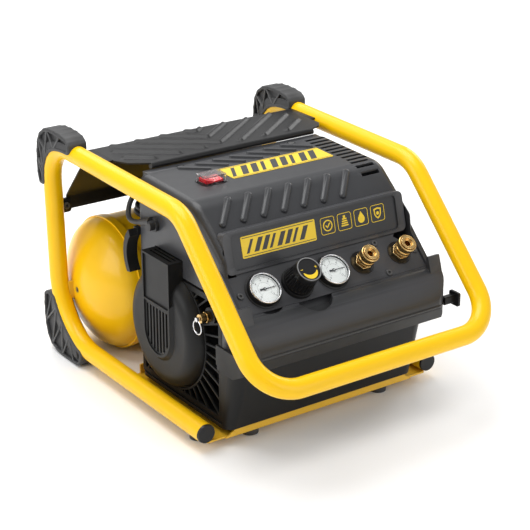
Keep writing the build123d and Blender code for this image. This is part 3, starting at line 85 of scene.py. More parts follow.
area_light("top_box", (-0.3, 0.5, 2.3), (0, 0, 0.2), 1.8, 46)
area_light("left_box", (-2.4, 0.2, 1.2), (0, 0, 0.15), 1.4, 20)
area_light("front_box", (0.6, -2.6, 1.0), (0, 0, 0.15), 1.6, 15)
area_light("right_box", (2.2, 0.8, 1.4), (0, 0, 0.2), 1.2, 16)
area_light("floor_box", (0.8, 3.6, 2.6), (0.9, 4.6, 0), 2.6, 90)


# ---------------------------------------------------------------------------
# Materials
# ---------------------------------------------------------------------------
def shade(name, color, rough, metallic=0.0, tint=0.05, tint_scale=9.0, grain=0.15, grain_scale=900.0,
          depth=0.00004, rough_spread=0.06, wear=None, wear_amount=0.35, coat=0.0, specular=0.5,
          bevel=0.0008, stretch=None):
    """A solid finish: drifting tint, worn edges, uneven gloss and a fine raised grain."""
    material = bpy.data.materials.new(name)
    material.use_nodes = True
    tree = material.node_tree
    link = tree.links.new
    principled = tree.nodes["Principled BSDF"]
    principled.inputs["Metallic"].default_value = metallic
    principled.inputs["Specular IOR Level"].default_value = specular
    principled.inputs["Coat Weight"].default_value = coat
    principled.inputs["Coat Roughness"].default_value = 0.08

    place = tree.nodes.new("ShaderNodeTexCoord")
    source = place.outputs["Object"]
    if stretch:
        mapping = tree.nodes.new("ShaderNodeMapping")
        mapping.inputs["Scale"].default_value = stretch
        link(source, mapping.inputs["Vector"])
        source = mapping.outputs["Vector"]

    drift = tree.nodes.new("ShaderNodeTexNoise")
    drift.inputs["Scale"].default_value = tint_scale
    drift.inputs["Detail"].default_value = 5.0
    link(source, drift.inputs["Vector"])
    ramp = tree.nodes.new("ShaderNodeValToRGB")
    low = [channel * (1 - tint) for channel in color]
    high = [min(1.0, channel * (1 + tint)) for channel in color]
    ramp.color_ramp.elements[0].position = 0.3
    ramp.color_ramp.elements[1].position = 0.7
    ramp.color_ramp.elements[0].color = (*low, 1)
    ramp.color_ramp.elements[1].color = (*high, 1)
    link(drift.outputs["Fac"], ramp.inputs["Fac"])
    surface = ramp.outputs["Color"]

    if wear:
        geometry = tree.nodes.new("ShaderNodeNewGeometry")
        edge = tree.nodes.new("ShaderNodeMapRange")
        edge.inputs["From Min"].default_value = 0.53
        edge.inputs["From Max"].default_value = 0.62
        edge.inputs["To Max"].default_value = wear_amount
        link(geometry.outputs["Pointiness"], edge.inputs["Value"])
        mix = tree.nodes.new("ShaderNodeMix")
        mix.data_type = "RGBA"
        mix.inputs["B"].default_value = (*wear, 1)
        link(edge.outputs["Result"], mix.inputs["Factor"])
        link(surface, mix.inputs["A"])
        surface = mix.outputs["Result"]
    link(surface, principled.inputs["Base Color"])

    gloss = tree.nodes.new("ShaderNodeTexNoise")
    gloss.inputs["Scale"].default_value = tint_scale * 5
    gloss.inputs["Detail"].default_value = 4.0
    link(source, gloss.inputs["Vector"])
    spread = tree.nodes.new("ShaderNodeMapRange")
    spread.inputs["To Min"].default_value = max(0.02, rough - rough_spread)
    spread.inputs["To Max"].default_value = min(1.0, rough + rough_spread)
    link(gloss.outputs["Fac"], spread.inputs["Value"])
    link(spread.outputs["Result"], principled.inputs["Roughness"])

    fine = tree.nodes.new("ShaderNodeTexNoise")
    fine.inputs["Scale"].default_value = grain_scale
    fine.inputs["Detail"].default_value = 2.0
    link(source, fine.inputs["Vector"])
    bump = tree.nodes.new("ShaderNodeBump")
    bump.inputs["Strength"].default_value = grain
    bump.inputs["Distance"].default_value = depth
    link(fine.outputs["Fac"], bump.inputs["Height"])
    if bevel:
        soften = tree.nodes.new("ShaderNodeBevel")
        soften.samples = 4
        soften.inputs["Radius"].default_value = bevel
        link(soften.outputs["Normal"], bump.inputs["Normal"])
    link(bump.outputs["Normal"], principled.inputs["Normal"])
    return material


def clear(name, color, rough, ior):
    """A clear moulding: transmission with slightly uneven gloss."""
    material = shade(name, color, rough, tint=0.02, rough_spread=0.02, grain=0.05, bevel=0)
    principled = material.node_tree.nodes["Principled BSDF"]
    principled.inputs["Transmission Weight"].default_value = 1.0
    principled.inputs["IOR"].default_value = ior
    return material


PAINT_WEAR = (0.55, 0.38, 0.05)
cage_paint = shade("cage_paint", (0.90, 0.53, 0.0), 0.32, tint=0.03, tint_scale=6, grain=0.25, specular=0.3,
                   grain_scale=350, depth=0.00012, wear=PAINT_WEAR, wear_amount=0.15, coat=0.08)
tank_paint = shade("tank_paint", (0.88, 0.51, 0.004), 0.30, tint=0.04, tint_scale=5, grain=0.25, specular=0.3,
                   grain_scale=300, depth=0.00015, wear=PAINT_WEAR, wear_amount=0.2, coat=0.15)
tray_paint = shade("tray_paint", (0.82, 0.46, 0.02), 0.34, tint=0.05, tint_scale=7, grain=0.25,
                   grain_scale=350, depth=0.00012, wear=PAINT_WEAR, wear_amount=0.3, coat=0.2)
guard_paint = shade("guard_paint", (0.007, 0.007, 0.0075), 0.40, tint=0.10, grain=0.3, grain_scale=700,
                    depth=0.00008, wear=(0.07, 0.07, 0.072), wear_amount=0.3, specular=0.3)
cover_plastic = shade("cover_plastic", (0.030, 0.031, 0.034), 0.34, tint=0.06, grain=0.35, specular=0.42,
                      grain_scale=1500, depth=0.00006, wear=(0.12, 0.12, 0.13), wear_amount=0.3)
housing_plastic = shade("housing_plastic", (0.009, 0.009, 0.009), 0.40, tint=0.08, grain=0.35, specular=0.22,
                        grain_scale=1500, depth=0.00006, wear=(0.04, 0.04, 0.04), wear_amount=0.3)
panel_plastic = shade("panel_plastic", (0.026, 0.027, 0.029), 0.38, tint=0.06, grain=0.35, specular=0.40,
                      grain_scale=1500, depth=0.00006, wear=(0.10, 0.10, 0.11), wear_amount=0.3)
knob_plastic = shade("knob_plastic", (0.006, 0.006, 0.0065), 0.33, tint=0.10, grain=0.2, specular=0.35,
                     grain_scale=1500, depth=0.00004, wear=(0.04, 0.04, 0.04), wear_amount=0.3)
bumper_rubber = shade("bumper_rubber", (0.026, 0.026, 0.027), 0.55, tint=0.12, tint_scale=20, grain=0.5,
                      grain_scale=900, depth=0.00012, wear=(0.11, 0.11, 0.11), wear_amount=0.5)
cord_rubber = shade("cord_rubber", (0.020, 0.020, 0.021), 0.48, tint=0.10, tint_scale=40, grain=0.4,
                    grain_scale=1200, depth=0.00006)
brass = shade("brass_turned", (0.66, 0.43, 0.16), 0.24, metallic=1.0, tint=0.08, tint_scale=60, grain=0.25,
              grain_scale=500, depth=0.00004, wear=(0.85, 0.66, 0.36), wear_amount=0.5)
chrome = shade("plated_steel", (0.72, 0.72, 0.74), 0.14, metallic=1.0, tint=0.03, grain=0.1,
               grain_scale=500, depth=0.00002)
zinc = shade("zinc_steel", (0.35, 0.35, 0.36), 0.34, metallic=1.0, tint=0.12, tint_scale=80, grain=0.2,
             grain_scale=800, depth=0.00004)
black_screw = shade("blackened_steel", (0.06, 0.06, 0.062), 0.36, metallic=0.6, tint=0.12, tint_scale=80,
                    grain=0.2, grain_scale=800, depth=0.00004, wear=(0.3, 0.3, 0.3), wear_amount=0.4)
cast_alloy = shade("cast_alloy", (0.42, 0.43, 0.44), 0.45, metallic=1.0, tint=0.10, tint_scale=40, grain=0.6,
                   grain_scale=450, depth=0.0002)
motor_steel = shade("motor_steel", (0.24, 0.25, 0.26), 0.42, metallic=1.0, tint=0.10, tint_scale=40,
                    grain=0.4, grain_scale=500, depth=0.0001)
copper = shade("copper_tube", (0.78, 0.36, 0.20), 0.28, metallic=1.0, tint=0.10, tint_scale=40, grain=0.2,
               grain_scale=500, depth=0.00004)
label_yellow = shade("label_yellow", (0.84, 0.58, 0.02), 0.40, tint=0.03, grain=0.1, grain_scale=900,
                     depth=0.00002, bevel=0)
label_black = shade("label_black", (0.03, 0.03, 0.03), 0.40, tint=0.06, grain=0.1, bevel=0)
dial_white = shade("dial_white", (0.88, 0.88, 0.86), 0.45, tint=0.02, grain=0.1, grain_scale=900,
                   depth=0.00002, bevel=0)
dial_ink = shade("dial_ink", (0.03, 0.03, 0.035), 0.50, tint=0.05, grain=0.05, bevel=0)
red_plastic = shade("red_plastic", (0.80, 0.02, 0.035), 0.22, tint=0.06, grain=0.1, grain_scale=900,
                    depth=0.00003, coat=0.4)
lens_clear = clear("lens_clear", (0.96, 0.98, 0.98), 0.03, 1.02)
boot_clear = clear("boot_clear", (0.98, 0.95, 0.95), 0.16, 1.30)

NODE_FINISH = {
    "roll_cage_frame": cage_paint, "frame_end_plugs": knob_plastic, "base_tray": tray_paint,
    "rubber_feet": bumper_rubber, "lower_bumpers": bumper_rubber, "upper_bumpers": bumper_rubber,
    "rear_guard": guard_paint, "guard_bolts": black_screw, "air_tank": tank_paint,
    "tank_end_plugs": zinc, "tank_brackets": tray_paint, "drain_valve_body": brass,
    "drain_valve_knob": knob_plastic, "main_cover": cover_plastic, "cover_screws": black_screw,
    "nameplate_panel": cover_plastic, "label_plates": label_yellow, "pictogram_labels": label_yellow,
    "lower_housing": housing_plastic, "front_bumper": panel_plastic, "side_grille": housing_plastic,
    "fan_shroud": housing_plastic, "control_panel": panel_plastic, "gauge_cases": chrome,
    "gauge_dials": dial_white, "left_gauge_needle": dial_ink, "right_gauge_needle": dial_ink,
    "gauge_lenses": lens_clear, "regulator_body": knob_plastic, "regulator_knob": knob_plastic,
    "regulator_knob_cap": knob_plastic, "coupler_bodies": brass, "left_coupler_sleeve": brass,
    "right_coupler_sleeve": brass, "outlet_manifold": brass, "relief_valve_body": brass,
    "relief_valve_ring": chrome, "switch_bezel": knob_plastic, "switch_rocker": red_plastic,
    "switch_boot": boot_clear, "motor_stator": motor_steel, "motor_mount": cast_alloy,
    "motor_rotor": motor_steel, "cooling_fan": knob_plastic, "crankcase": cast_alloy,
    "crank_counterweight": motor_steel, "pump_cylinder": cast_alloy, "piston_rod": cast_alloy,
    "cylinder_head": cast_alloy, "delivery_pipe": copper, "check_valve": brass,
    "pressure_switch": knob_plastic, "start_capacitor": cast_alloy, "cord_hooks": housing_plastic,
    "cord_gland": cord_rubber, "power_cord": cord_rubber, "cord_coil": cord_rubber,
    "plug_lead": cord_rubber, "mains_plug": cord_rubber,
}
for node_name, finish in NODE_FINISH.items():
    mesh = nodes[node_name].data
    mesh.materials.clear()
    mesh.materials.append(finish)

# ---------------------------------------------------------------------------
# Geometry helpers
# ---------------------------------------------------------------------------
def piece(name, build, finish, body, replaces=(), crease=35.0):
    """Turn a bmesh into a smooth-shaded piece that rides on a CAD body."""
    bmesh.ops.remove_doubles(build, verts=build.verts[:], dist=1e-6)
    bmesh.ops.recalc_face_normals(build, faces=build.faces[:])
    mesh = bpy.data.meshes.new(name)
    build.to_mesh(mesh)
    build.free()
    mesh.shade_smooth()
    mesh.set_sharp_from_angle(angle=math.radians(crease))
    mesh.materials.append(finish)
    made = bpy.data.objects.new(name, mesh)
    scene.collection.objects.link(made)
    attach(made, body)
    if replaces:
        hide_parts(*replaces)
    return made


def placed(origin, across, along):
    """A frame at origin with local X and Y along the given directions."""
    across = Vector(across).normalized()
    out = across.cross(Vector(along)).normalized()
    up = out.cross(across)
    return Matrix.Translation(origin) @ Matrix((across, up, out)).transposed().to_4x4()


# A point on the control panel's face, and the panel's slope
PANEL_Y, PANEL_Z, PANEL_SLOPE = -177.5, 239.5, 42


def panel_frame(x, along, lift=0.0):
    """Frame on the control panel: local Z is out of its face."""
    slope = math.radians(PANEL_SLOPE)
    place = mm(x, PANEL_Y + along * math.cos(slope) - lift * math.sin(slope),
               PANEL_Z + along * math.sin(slope) + lift * math.cos(slope))
    return placed(place, (1, 0, 0), (0, math.cos(slope), math.sin(slope)))


def lathe(build, profile, place, segments=72, swell=None):
    """Revolve (radius, height) points in millimetres about the frame's Z."""
    rings = []
    for radius, height in profile:
        if radius < 1e-6:
            rings.append([build.verts.new(place @ Vector((0, 0, height * MM)))])
            continue
        ring = []
        for index in range(segments):
            angle = 2 * math.pi * index / segments
            reach = radius + (swell(index, radius, height) if swell else 0.0)
            ring.append(build.verts.new(
                place @ Vector((reach * MM * math.cos(angle), reach * MM * math.sin(angle), height * MM))))
        rings.append(ring)
    for lower, upper in zip(rings, rings[1:]):
        for index in range(segments):
            after = (index + 1) % segments
            if len(lower) == 1:
                build.faces.new((lower[0], upper[after], upper[index]))
            elif len(upper) == 1:
                build.faces.new((lower[index], lower[after], upper[0]))
            else:
                build.faces.new((lower[index], lower[after], upper[after], upper[index]))


def slab(build, outline, place, low, high, round_mm=0.0, segments=2):
    """Solid from a flat outline in millimetres, with its top and bottom edges rounded."""
    bottom = [build.verts.new(place @ Vector((x * MM, y * MM, low * MM))) for x, y in outline]
    top = [build.verts.new(place @ Vector((x * MM, y * MM, high * MM))) for x, y in outline]
    count = len(outline)
    faces = [build.faces.new(bottom[::-1]), build.faces.new(top)]
    for index in range(count):
        after = (index + 1) % count
        faces.append(build.faces.new((bottom[index], bottom[after], top[after], top[index])))
    if round_mm:
        rims = list(faces[0].edges) + list(faces[1].edges)
        bmesh.ops.bevel(build, geom=rims, offset=round_mm * MM, segments=segments, profile=0.5,
                        affect="EDGES", clamp_overlap=True)


def rounded_rect(width, height, corner, steps=5):
    """Outline of a rounded rectangle about the origin, anticlockwise."""
    points = []
    for sx, sy, start in ((1, 1, 0), (-1, 1, 90), (-1, -1, 180), (1, -1, 270)):
        for step in range(steps + 1):
            angle = math.radians(start + 90 * step / steps)
            points.append((sx * (width / 2 - corner) + corner * math.cos(angle),
                           sy * (height / 2 - corner) + corner * math.sin(angle)))
    return points


def disc(radius, count, turn=0.0):
    """Regular outline of a circle or polygon."""
    angles = [2 * math.pi * k / count + turn for k in range(count)]
    return [(radius * math.cos(angle), radius * math.sin(angle)) for angle in angles]


def tube(build, points, radius, closed=False, segments=16):
    """Round bar through a list of points, radius in millimetres."""
    count = len(points)
    rings = []
    guide = None
    for index, point in enumerate(points):
        before = points[index - 1] if (index or closed) else point
        after = points[(index + 1) % count] if (index < count - 1 or closed) else point
        heading = (after - before).normalized()
        if guide is None:
            guide = heading.orthogonal().normalized()
        guide = (guide - heading * guide.dot(heading)).normalized()
        side = heading.cross(guide)
        rings.append([build.verts.new(point + (guide * math.cos(2 * math.pi * k / segments)
                                               + side * math.sin(2 * math.pi * k / segments)) * radius * MM)
                      for k in range(segments)])
    pairs = list(zip(rings, rings[1:])) + ([(rings[-1], rings[0])] if closed else [])
    for lower, upper in pairs:
        for k in range(segments):
            build.faces.new((lower[k], lower[(k + 1) % segments], upper[(k + 1) % segments], upper[k]))
    if not closed:
        build.faces.new(rings[0][::-1])
        build.faces.new(rings[-1])


def capsule_rib(build, place, length, width, height, steps=10, around=8):
    """Raised rib with a half-round section and round ends, lying along the frame's Y on its XY plane."""
    half = width / 2
    straight = length / 2 - half
    columns = []
    stations = []
    for step in range(steps + 1):
        angle = math.pi / 2 * (1 - step / steps)
        stations.append((-straight - half * math.sin(angle), math.cos(angle)))
    for step in range(steps + 1):
        angle = math.pi / 2 * step / steps
        stations.append((straight + half * math.sin(angle), math.cos(angle)))
    for along, scale in stations:
        if scale < 0.05:
            columns.append([build.verts.new(place @ Vector((0, along * MM, -0.4 * MM)))])
            continue
        column = []
        for k in range(around + 1):
            angle = math.pi * k / around
            column.append(build.verts.new(place @ Vector((
                -half * scale * math.cos(angle) * MM, along * MM,
                (-0.4 + (height + 0.4) * math.sin(angle) ** 0.8 * scale) * MM))))
        columns.append(column)
    for lower, upper in zip(columns, columns[1:]):
        for k in range(around):
            if len(lower) == 1 and len(upper) == 1:
                continue
            if len(lower) == 1:
                build.faces.new((lower[0], upper[k], upper[k + 1]))
            elif len(upper) == 1:
                build.faces.new((lower[k], upper[0], lower[k + 1]))
            else:
                build.faces.new((lower[k], upper[k], upper[k + 1], lower[k + 1]))
        # flat underside
        if len(lower) > 1 and len(upper) > 1:
            build.faces.new((lower[0], lower[around], upper[around], upper[0]))
        elif len(lower) == 1 and len(upper) > 1:
            build.faces.new((lower[0], upper[around], upper[0]))
        elif len(lower) > 1:
            build.faces.new((lower[0], lower[around], upper[0]))


# ---------------------------------------------------------------------------
# Mains lead: from the gland over the tank into its stowed coil, then the plug
# ---------------------------------------------------------------------------
CORD_D = 8.0
cord_route = [
    (-184, 54, 288), (-185, 76, 281), (-182, 97, 284), (-171, 108, 303), (-152, 114, 317),
    (-132, 127, 314), (-116, 143, 296), (-104, 158, 273), (-92, 169, 252), (-79, 174, 240),
]
COIL_CENTRE = (-40, 221)
TURNS = 4.22
POINTS_PER_TURN = 15
# The turns wind in from the outer radius to the inner one, drop a layer and wind out again
COIL_START = 236
COIL_OUTER, COIL_INNER, COIL_SPREAD = 51.5, 36, 15.5
COIL_TOP, COIL_DROP = 236.3, 7.6
coil_steps = round(TURNS * POINTS_PER_TURN)
for step in range(1, coil_steps + 1):
    share = step / coil_steps
    angle = math.radians(COIL_START + 360 * TURNS * share)
    if share < 0.5:
        reach = COIL_OUTER - COIL_SPREAD * share / 0.5
    else:
        reach = COIL_INNER + COIL_SPREAD * (share - 0.5) / 0.5
    blend = min(1.0, max(0.0, (share - 0.46) / 0.08))
    height = COIL_TOP - COIL_DROP * blend * blend * (3 - 2 * blend)
    cord_route.append((COIL_CENTRE[0] + reach * math.cos(angle),
                       COIL_CENTRE[1] + reach * math.sin(angle), height))
cord_route += [(12, 191.5, 231.5), (26, 199, 233.5), (42, 203, 234.5), (58, 204.5, 234)]

cord_curve = bpy.data.curves.new("mains_lead", "CURVE")
cord_curve.dimensions = "3D"
cord_curve.bevel_depth = CORD_D / 2 * MM
cord_curve.bevel_resolution = 6
cord_curve.resolution_u = 8
cord_curve.use_fill_caps = True
lead = cord_curve.splines.new("NURBS")
lead.points.add(len(cord_route) - 1)
for control, point in zip(lead.points, cord_route):
    control.co = (*mm(*point), 1.0)
lead.order_u = 3
lead.use_endpoint_u = True
cord_curve.materials.append(cord_rubber)
mains_lead = bpy.data.objects.new("mains_lead", cord_curve)
scene.collection.objects.link(mains_lead)
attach(mains_lead, "chassis")
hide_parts("power_cord", "cord_coil", "plug_lead")


# ---------------------------------------------------------------------------
# Pressure gauges
# ---------------------------------------------------------------------------
GAUGES = {"left": -121.0, "right": 3.0}


def letters(text, size, place, name):
    """Flat mesh of a short number, built at a frame."""
    curve = bpy.data.curves.new(name, "FONT")
    curve.body = text
    curve.size = size * MM
    curve.align_x = "CENTER"
    curve.align_y = "CENTER"
    holder = bpy.data.objects.new(name, curve)
    scene.collection.objects.link(holder)
    bpy.context.view_layer.update()
    mesh = bpy.data.meshes.new_from_object(holder)
    mesh.transform(place)
    bpy.data.objects.remove(holder)
    bpy.data.curves.remove(curve)
    return mesh


for side, gauge_x in GAUGES.items():
    seat = panel_frame(gauge_x, 0)
    body = bmesh.new()
    lathe(body, [(0, -16), (23.5, -16), (24, -15.5), (24, 0), (28.2, 0.05), (28.5, 0.5), (28.2, 1.2),
                 (26.2, 1.7), (25.6, 2.6), (25.6, 8.6), (25.2, 9.6), (24.6, 10.2), (23.2, 10.2),
                 (23.0, 9.8), (23.0, 6.2), (0, 6.2)], seat, 96)
    lathe(body, [(0, -24), (5.6, -24), (6, -23.6), (6, -15.8), (0, -15.8)], seat, 32)
    piece(f"gauge_body_{side}", body, knob_plastic, "chassis", ["gauge_cases"])
    rim = bmesh.new()
    lathe(rim, [(22.9, 9.4), (24.9, 9.4), (25.0, 10.2), (24.7, 11.2), (24.0, 11.9), (23.4, 11.9), (23.0, 11.5),
                (22.9, 10.8), (22.9, 9.4)], seat, 96)
    piece(f"gauge_rim_{side}", rim, chrome, "chassis", ["gauge_cases"])

    marks = bmesh.new()
    for tick in range(61):
        angle = math.radians(225 - tick * 4.5)
        long_tick = tick % 10 == 0
        middle_tick = tick % 5 == 0
        inner = 17.6 if long_tick else (18.6 if middle_tick else 19.4)
        width = 0.55 if long_tick else 0.28
        heading = Vector((math.cos(angle), math.sin(angle), 0))
        across = Vector((-math.sin(angle), math.cos(angle), 0))
        corners = [heading * inner + across * width / 2, heading * 21 + across * width / 2,
                   heading * 21 - across * width / 2, heading * inner - across * width / 2]
        low = [marks.verts.new(seat @ ((c + Vector((0, 0, 6.75))) * MM)) for c in corners]
        high = [marks.verts.new(seat @ ((c + Vector((0, 0, 6.9))) * MM)) for c in corners]
        marks.faces.new(high)
        marks.faces.new(low[::-1])
        for k in range(4):
            marks.faces.new((low[k], low[(k + 1) % 4], high[(k + 1) % 4], high[k]))
    for tick in range(31):
        angle = math.radians(225 - tick * 9)
        heading = Vector((math.cos(angle), math.sin(angle), 0))
        across = Vector((-math.sin(angle), math.cos(angle), 0))
        inner = 10.6 if tick % 5 else 9.6
        corners = [heading * inner + across * 0.15, heading * 11.8 + across * 0.15,
                   heading * 11.8 - across * 0.15, heading * inner - across * 0.15]
        marks.faces.new([marks.verts.new(seat @ ((c + Vector((0, 0, 6.9))) * MM)) for c in corners])
    for number in range(7):
        angle = math.radians(225 - number * 45)
        spot = panel_frame(gauge_x, 0, 6.92) @ Matrix.Translation(
            Vector((14.8 * math.cos(angle), 14.8 * math.sin(angle), 0)) * MM)
        mesh = letters(str(number * 2), 4.2, spot, f"figure_{side}_{number}")
        marks.from_mesh(mesh)
        bpy.data.meshes.remove(mesh)
    piece(f"dial_marks_{side}", marks, dial_ink, "chassis")

    pointer = bmesh.new()
    slab(pointer, [(-8, -1.1), (-7.2, -1.5), (0, -0.7), (18.6, -0.18), (18.6, 0.18), (0, 0.7),
                   (-7.2, 1.5), (-8, 1.1)], panel_frame(gauge_x, 0), 7.5, 8.0)
    lathe(pointer, [(0.96, 7.4), (2.5, 7.4), (2.5, 8.1), (2.1, 8.5), (0.96, 8.6), (0.96, 7.4)],
          panel_frame(gauge_x, 0), 32)
    piece(f"needle_{side}", pointer, dial_ink, f"{side}_needle", [f"{side}_gauge_needle"])

# ---------------------------------------------------------------------------
# Regulator knob
# ---------------------------------------------------------------------------
KNOB_X, KNOB_ALONG = -61.0, -2.0
knob_seat = panel_frame(KNOB_X, KNOB_ALONG)


def flute(index, radius, height):
    """24 grip flutes on the lower barrel of the knob, five segments wide each."""
    if 8.5 < height < 30 and radius > 18:
        return (-1.3, -0.9, 0.0, 0.0, -0.9)[index % 5]
    return 0.0


knob = bmesh.new()
lathe(knob, [(6.06, 7.2), (21.8, 7.2), (22.4, 7.8), (22.5, 9.0), (22.1, 12), (21.6, 18), (21.1, 24), (20.6, 29),
             (20.4, 30.5), (20.4, 31.2), (19.8, 38.5), (19.9, 39.4), (20.0, 41.6), (19.5, 42.9), (18.6, 43.0),
             (17.3, 42.9), (17.2, 41.0), (6.06, 41.0), (6.06, 7.2)], knob_seat, 120, flute)
piece("knob_barrel", knob, knob_plastic, "knob", ["regulator_knob"])
knob_top = bmesh.new()
lathe(knob_top, [(0, 41.05), (17.1, 41.05), (17.1, 42.3), (16.9, 42.5), (0, 42.5)], knob_seat, 96)
piece("knob_cap", knob_top, knob_plastic, "knob", ["regulator_knob_cap"])
knob_ring = bmesh.new()
lathe(knob_ring, [(17.5, 42.85), (18.9, 42.85), (18.9, 43.15), (17.5, 43.15), (17.5, 42.85)], knob_seat, 96)
piece("knob_edge_line", knob_ring, shade("knob_line", (0.22, 0.22, 0.22), 0.4, tint=0.05, bevel=0),
      "knob")
arrow = bmesh.new()
outline_out, outline_in = [], []
for step in range(25):
    share = step / 24
    angle = math.radians(198 + 144 * share)
    half = 0.35 + 2.9 * math.sin(math.pi * share) ** 0.8
    outline_out.append(((12.2 + half) * math.cos(angle), (12.2 + half) * math.sin(angle)))
    outline_in.append(((12.2 - half) * math.cos(angle), (12.2 - half) * math.sin(angle)))
slab(arrow, outline_out + outline_in[::-1], knob_seat, 42.45, 42.65)
for x in (-12.2, 12.2):
    slab(arrow, [(x - 2, 1.2), (x + 2, 1.2), (x + 2, 1.9), (x - 2, 1.9)], knob_seat, 42.45, 42.65)
slab(arrow, [(11.85, -0.5), (12.55, -0.5), (12.55, 3.6), (11.85, 3.6)], knob_seat, 42.45, 42.64)
piece("knob_print", arrow, label_yellow, "knob")

# ---------------------------------------------------------------------------
# Quick couplers
# ---------------------------------------------------------------------------
for side, coupler_x in {"left": 61.0, "right": 132.0}.items():
    seat = panel_frame(coupler_x, 2)
    fixed = bmesh.new()
    lathe(fixed, [(3, -24), (8, -24), (8, 0.2), (3, 0.2), (3, -24)], seat, 48)
    lathe(fixed, [(3, 0.3), (13.3, 0.3), (14, 1.0), (14, 5.3), (13.3, 6), (3, 6), (3, 0.3)], seat, 6)
    lathe(fixed, [(4.6, 5.9), (9.0, 5.9), (9.0, 31.0), (11.2, 31.0),
                  (11.6, 31.4), (11.6, 32.2), (11.2, 32.6), (8.2, 32.6), (7.5, 32.2), (7.4, 31.6), (7.4, 29.6),
                  (7.1, 29.2), (5.0, 29.2), (4.62, 28.8), (4.62, 10.8), (3.0, 10.6), (3.0, 5.9), (4.6, 5.9)],
          seat, 72)
    piece(f"coupler_{side}", fixed, brass, "chassis", ["coupler_bodies"])

    def knurl(index, radius, height):
        """Fine grip on the wide bands of the sleeve."""
        return (-0.3 if index % 2 else 0.0) if (radius > 13.5 and 14.1 < height < 17.9) else 0.0

    sleeve = bmesh.new()
    lathe(sleeve, [(9.06, 11), (13.2, 11), (13.8, 11.6), (13.8, 13.0), (13.4, 13.3), (13.4, 13.9),
                   (13.8, 14.2), (13.8, 17.8), (13.4, 18.3), (12.9, 18.8), (12.6, 19.6), (12.6, 22.6),
                   (12.9, 23.4), (13.9, 24.0), (14.4, 24.6), (14.4, 25.2), (14.4, 29.2), (14.4, 29.7),
                   (13.9, 30.3), (13.2, 30.5), (12.2, 30.5), (11.8, 30.0), (9.06, 30.0), (9.06, 11)],
          seat, 144, knurl)
    piece(f"sleeve_{side}", sleeve, brass, f"{side}_sleeve", [f"{side}_coupler_sleeve"])
    collar = bmesh.new()
    lathe(collar, [(8.2, 0.02), (19.4, 0.02), (19.7, 0.3), (19.4, 0.8), (18.6, 0.9), (17.8, 0.4),
                   (8.2, 0.4), (8.2, 0.02)], seat, 72)
    piece(f"coupler_washer_{side}", collar, knob_plastic, "chassis")

# ---------------------------------------------------------------------------
# Rear guard: one pressed sheet with V ribs, a rolled lip, a rear bend and bolt tabs
# ---------------------------------------------------------------------------
GUARD_TOP, GUARD_SHEET = 367.0, 2.5
# The plate is flat from its front edge to the bend, which has this radius
GUARD_FRONT, GUARD_BEND, GUARD_BEND_R = 84, 189, 20
guard_path = []
for step in range(57):
    guard_path.append((GUARD_FRONT + step * (GUARD_BEND - GUARD_FRONT) / 56, GUARD_TOP, 0.0, 1.0))
for step in range(1, 9):
    turn = math.radians(49.2 * step / 8)
    guard_path.append((GUARD_BEND + GUARD_BEND_R * math.sin(turn),
                       GUARD_TOP - GUARD_BEND_R * (1 - math.cos(turn)), math.sin(turn), math.cos(turn)))
fold_y, fold_z = guard_path[-1][0], guard_path[-1][1]
for step in range(1, 15):
    share = step / 14
    guard_path.append((fold_y + (284 - fold_y) * share, fold_z + (267.5 - fold_z) * share, 0.757, 0.654))
guard_path += [(286.2, 264.4, 0.93, 0.36), (287, 260, 1, 0), (287, 250, 1, 0), (287, 240, 1, 0)]


def guard_edges(y):
    """Left and right edge of the plate at a distance from the cage's middle."""
    left = -147 - 28 * min(1.0, (y - 84) / 18) - 12 * min(1.0, max(0.0, (y - 102) / 22))
    right = 160 + 18 * min(1.0, (y - 84) / 6) + 9 * min(1.0, max(0.0, (y - 90) / 12))
    return left, right


def rib_height(x, y):
    """Height of the pressed V ribs over the plate: half-round, rounded at the ends."""
    if y > 196:
        return 0.0
    best = 0.0
    slant = math.radians(37)
    cos_s, sin_s = math.cos(slant), math.sin(slant)
    for number in range(6):
        apex = 176 - 34.4 * number
        for hand in (-1, 1):
            out = (x + 5) * hand
            along = out * cos_s + (y - apex) * sin_s
            off = -out * sin_s + (y - apex) * cos_s
            first = max(0.0, (99 - apex) / sin_s)
            last = min((166 + hand * 5) / cos_s, (186 - apex) / sin_s)
            if last - first < 8:
                continue
            over = max(0.0, first - along, along - last)
            reach = math.hypot(off, over) / 7.6
            if reach < 1:
                best = max(best, 4.2 * (0.5 + 0.5 * math.cos(math.pi * reach)))
    return best


guard = bmesh.new()
GUARD_COLUMNS = 168
sheets = []
for lower in (0, 1):
    rows = []
    for y, z, normal_y, normal_z in guard_path:
        left, right = guard_edges(min(y, 190))
        row = []
        for column in range(GUARD_COLUMNS + 1):
            x = left + (right - left) * column / GUARD_COLUMNS
            lift = rib_height(x, y) - GUARD_SHEET * lower
            row.append(guard.verts.new(mm(x, y + normal_y * lift, z + normal_z * lift)))
        rows.append(row)
    sheets.append(rows)
top, under = sheets
last_row = len(guard_path) - 1
for r in range(last_row):
    for c in range(GUARD_COLUMNS):
        guard.faces.new((top[r][c], top[r][c + 1], top[r + 1][c + 1], top[r + 1][c]))
        guard.faces.new((under[r][c], under[r + 1][c], under[r + 1][c + 1], under[r][c + 1]))
    for c in (0, GUARD_COLUMNS):
        guard.faces.new((top[r][c], top[r + 1][c], under[r + 1][c], under[r][c]))
for c in range(GUARD_COLUMNS):
    for r in (0, last_row):
        guard.faces.new((top[r][c], top[r][c + 1], under[r][c + 1], under[r][c]))
piece("guard_plate", guard, guard_paint, "chassis", ["rear_guard"], crease=40)

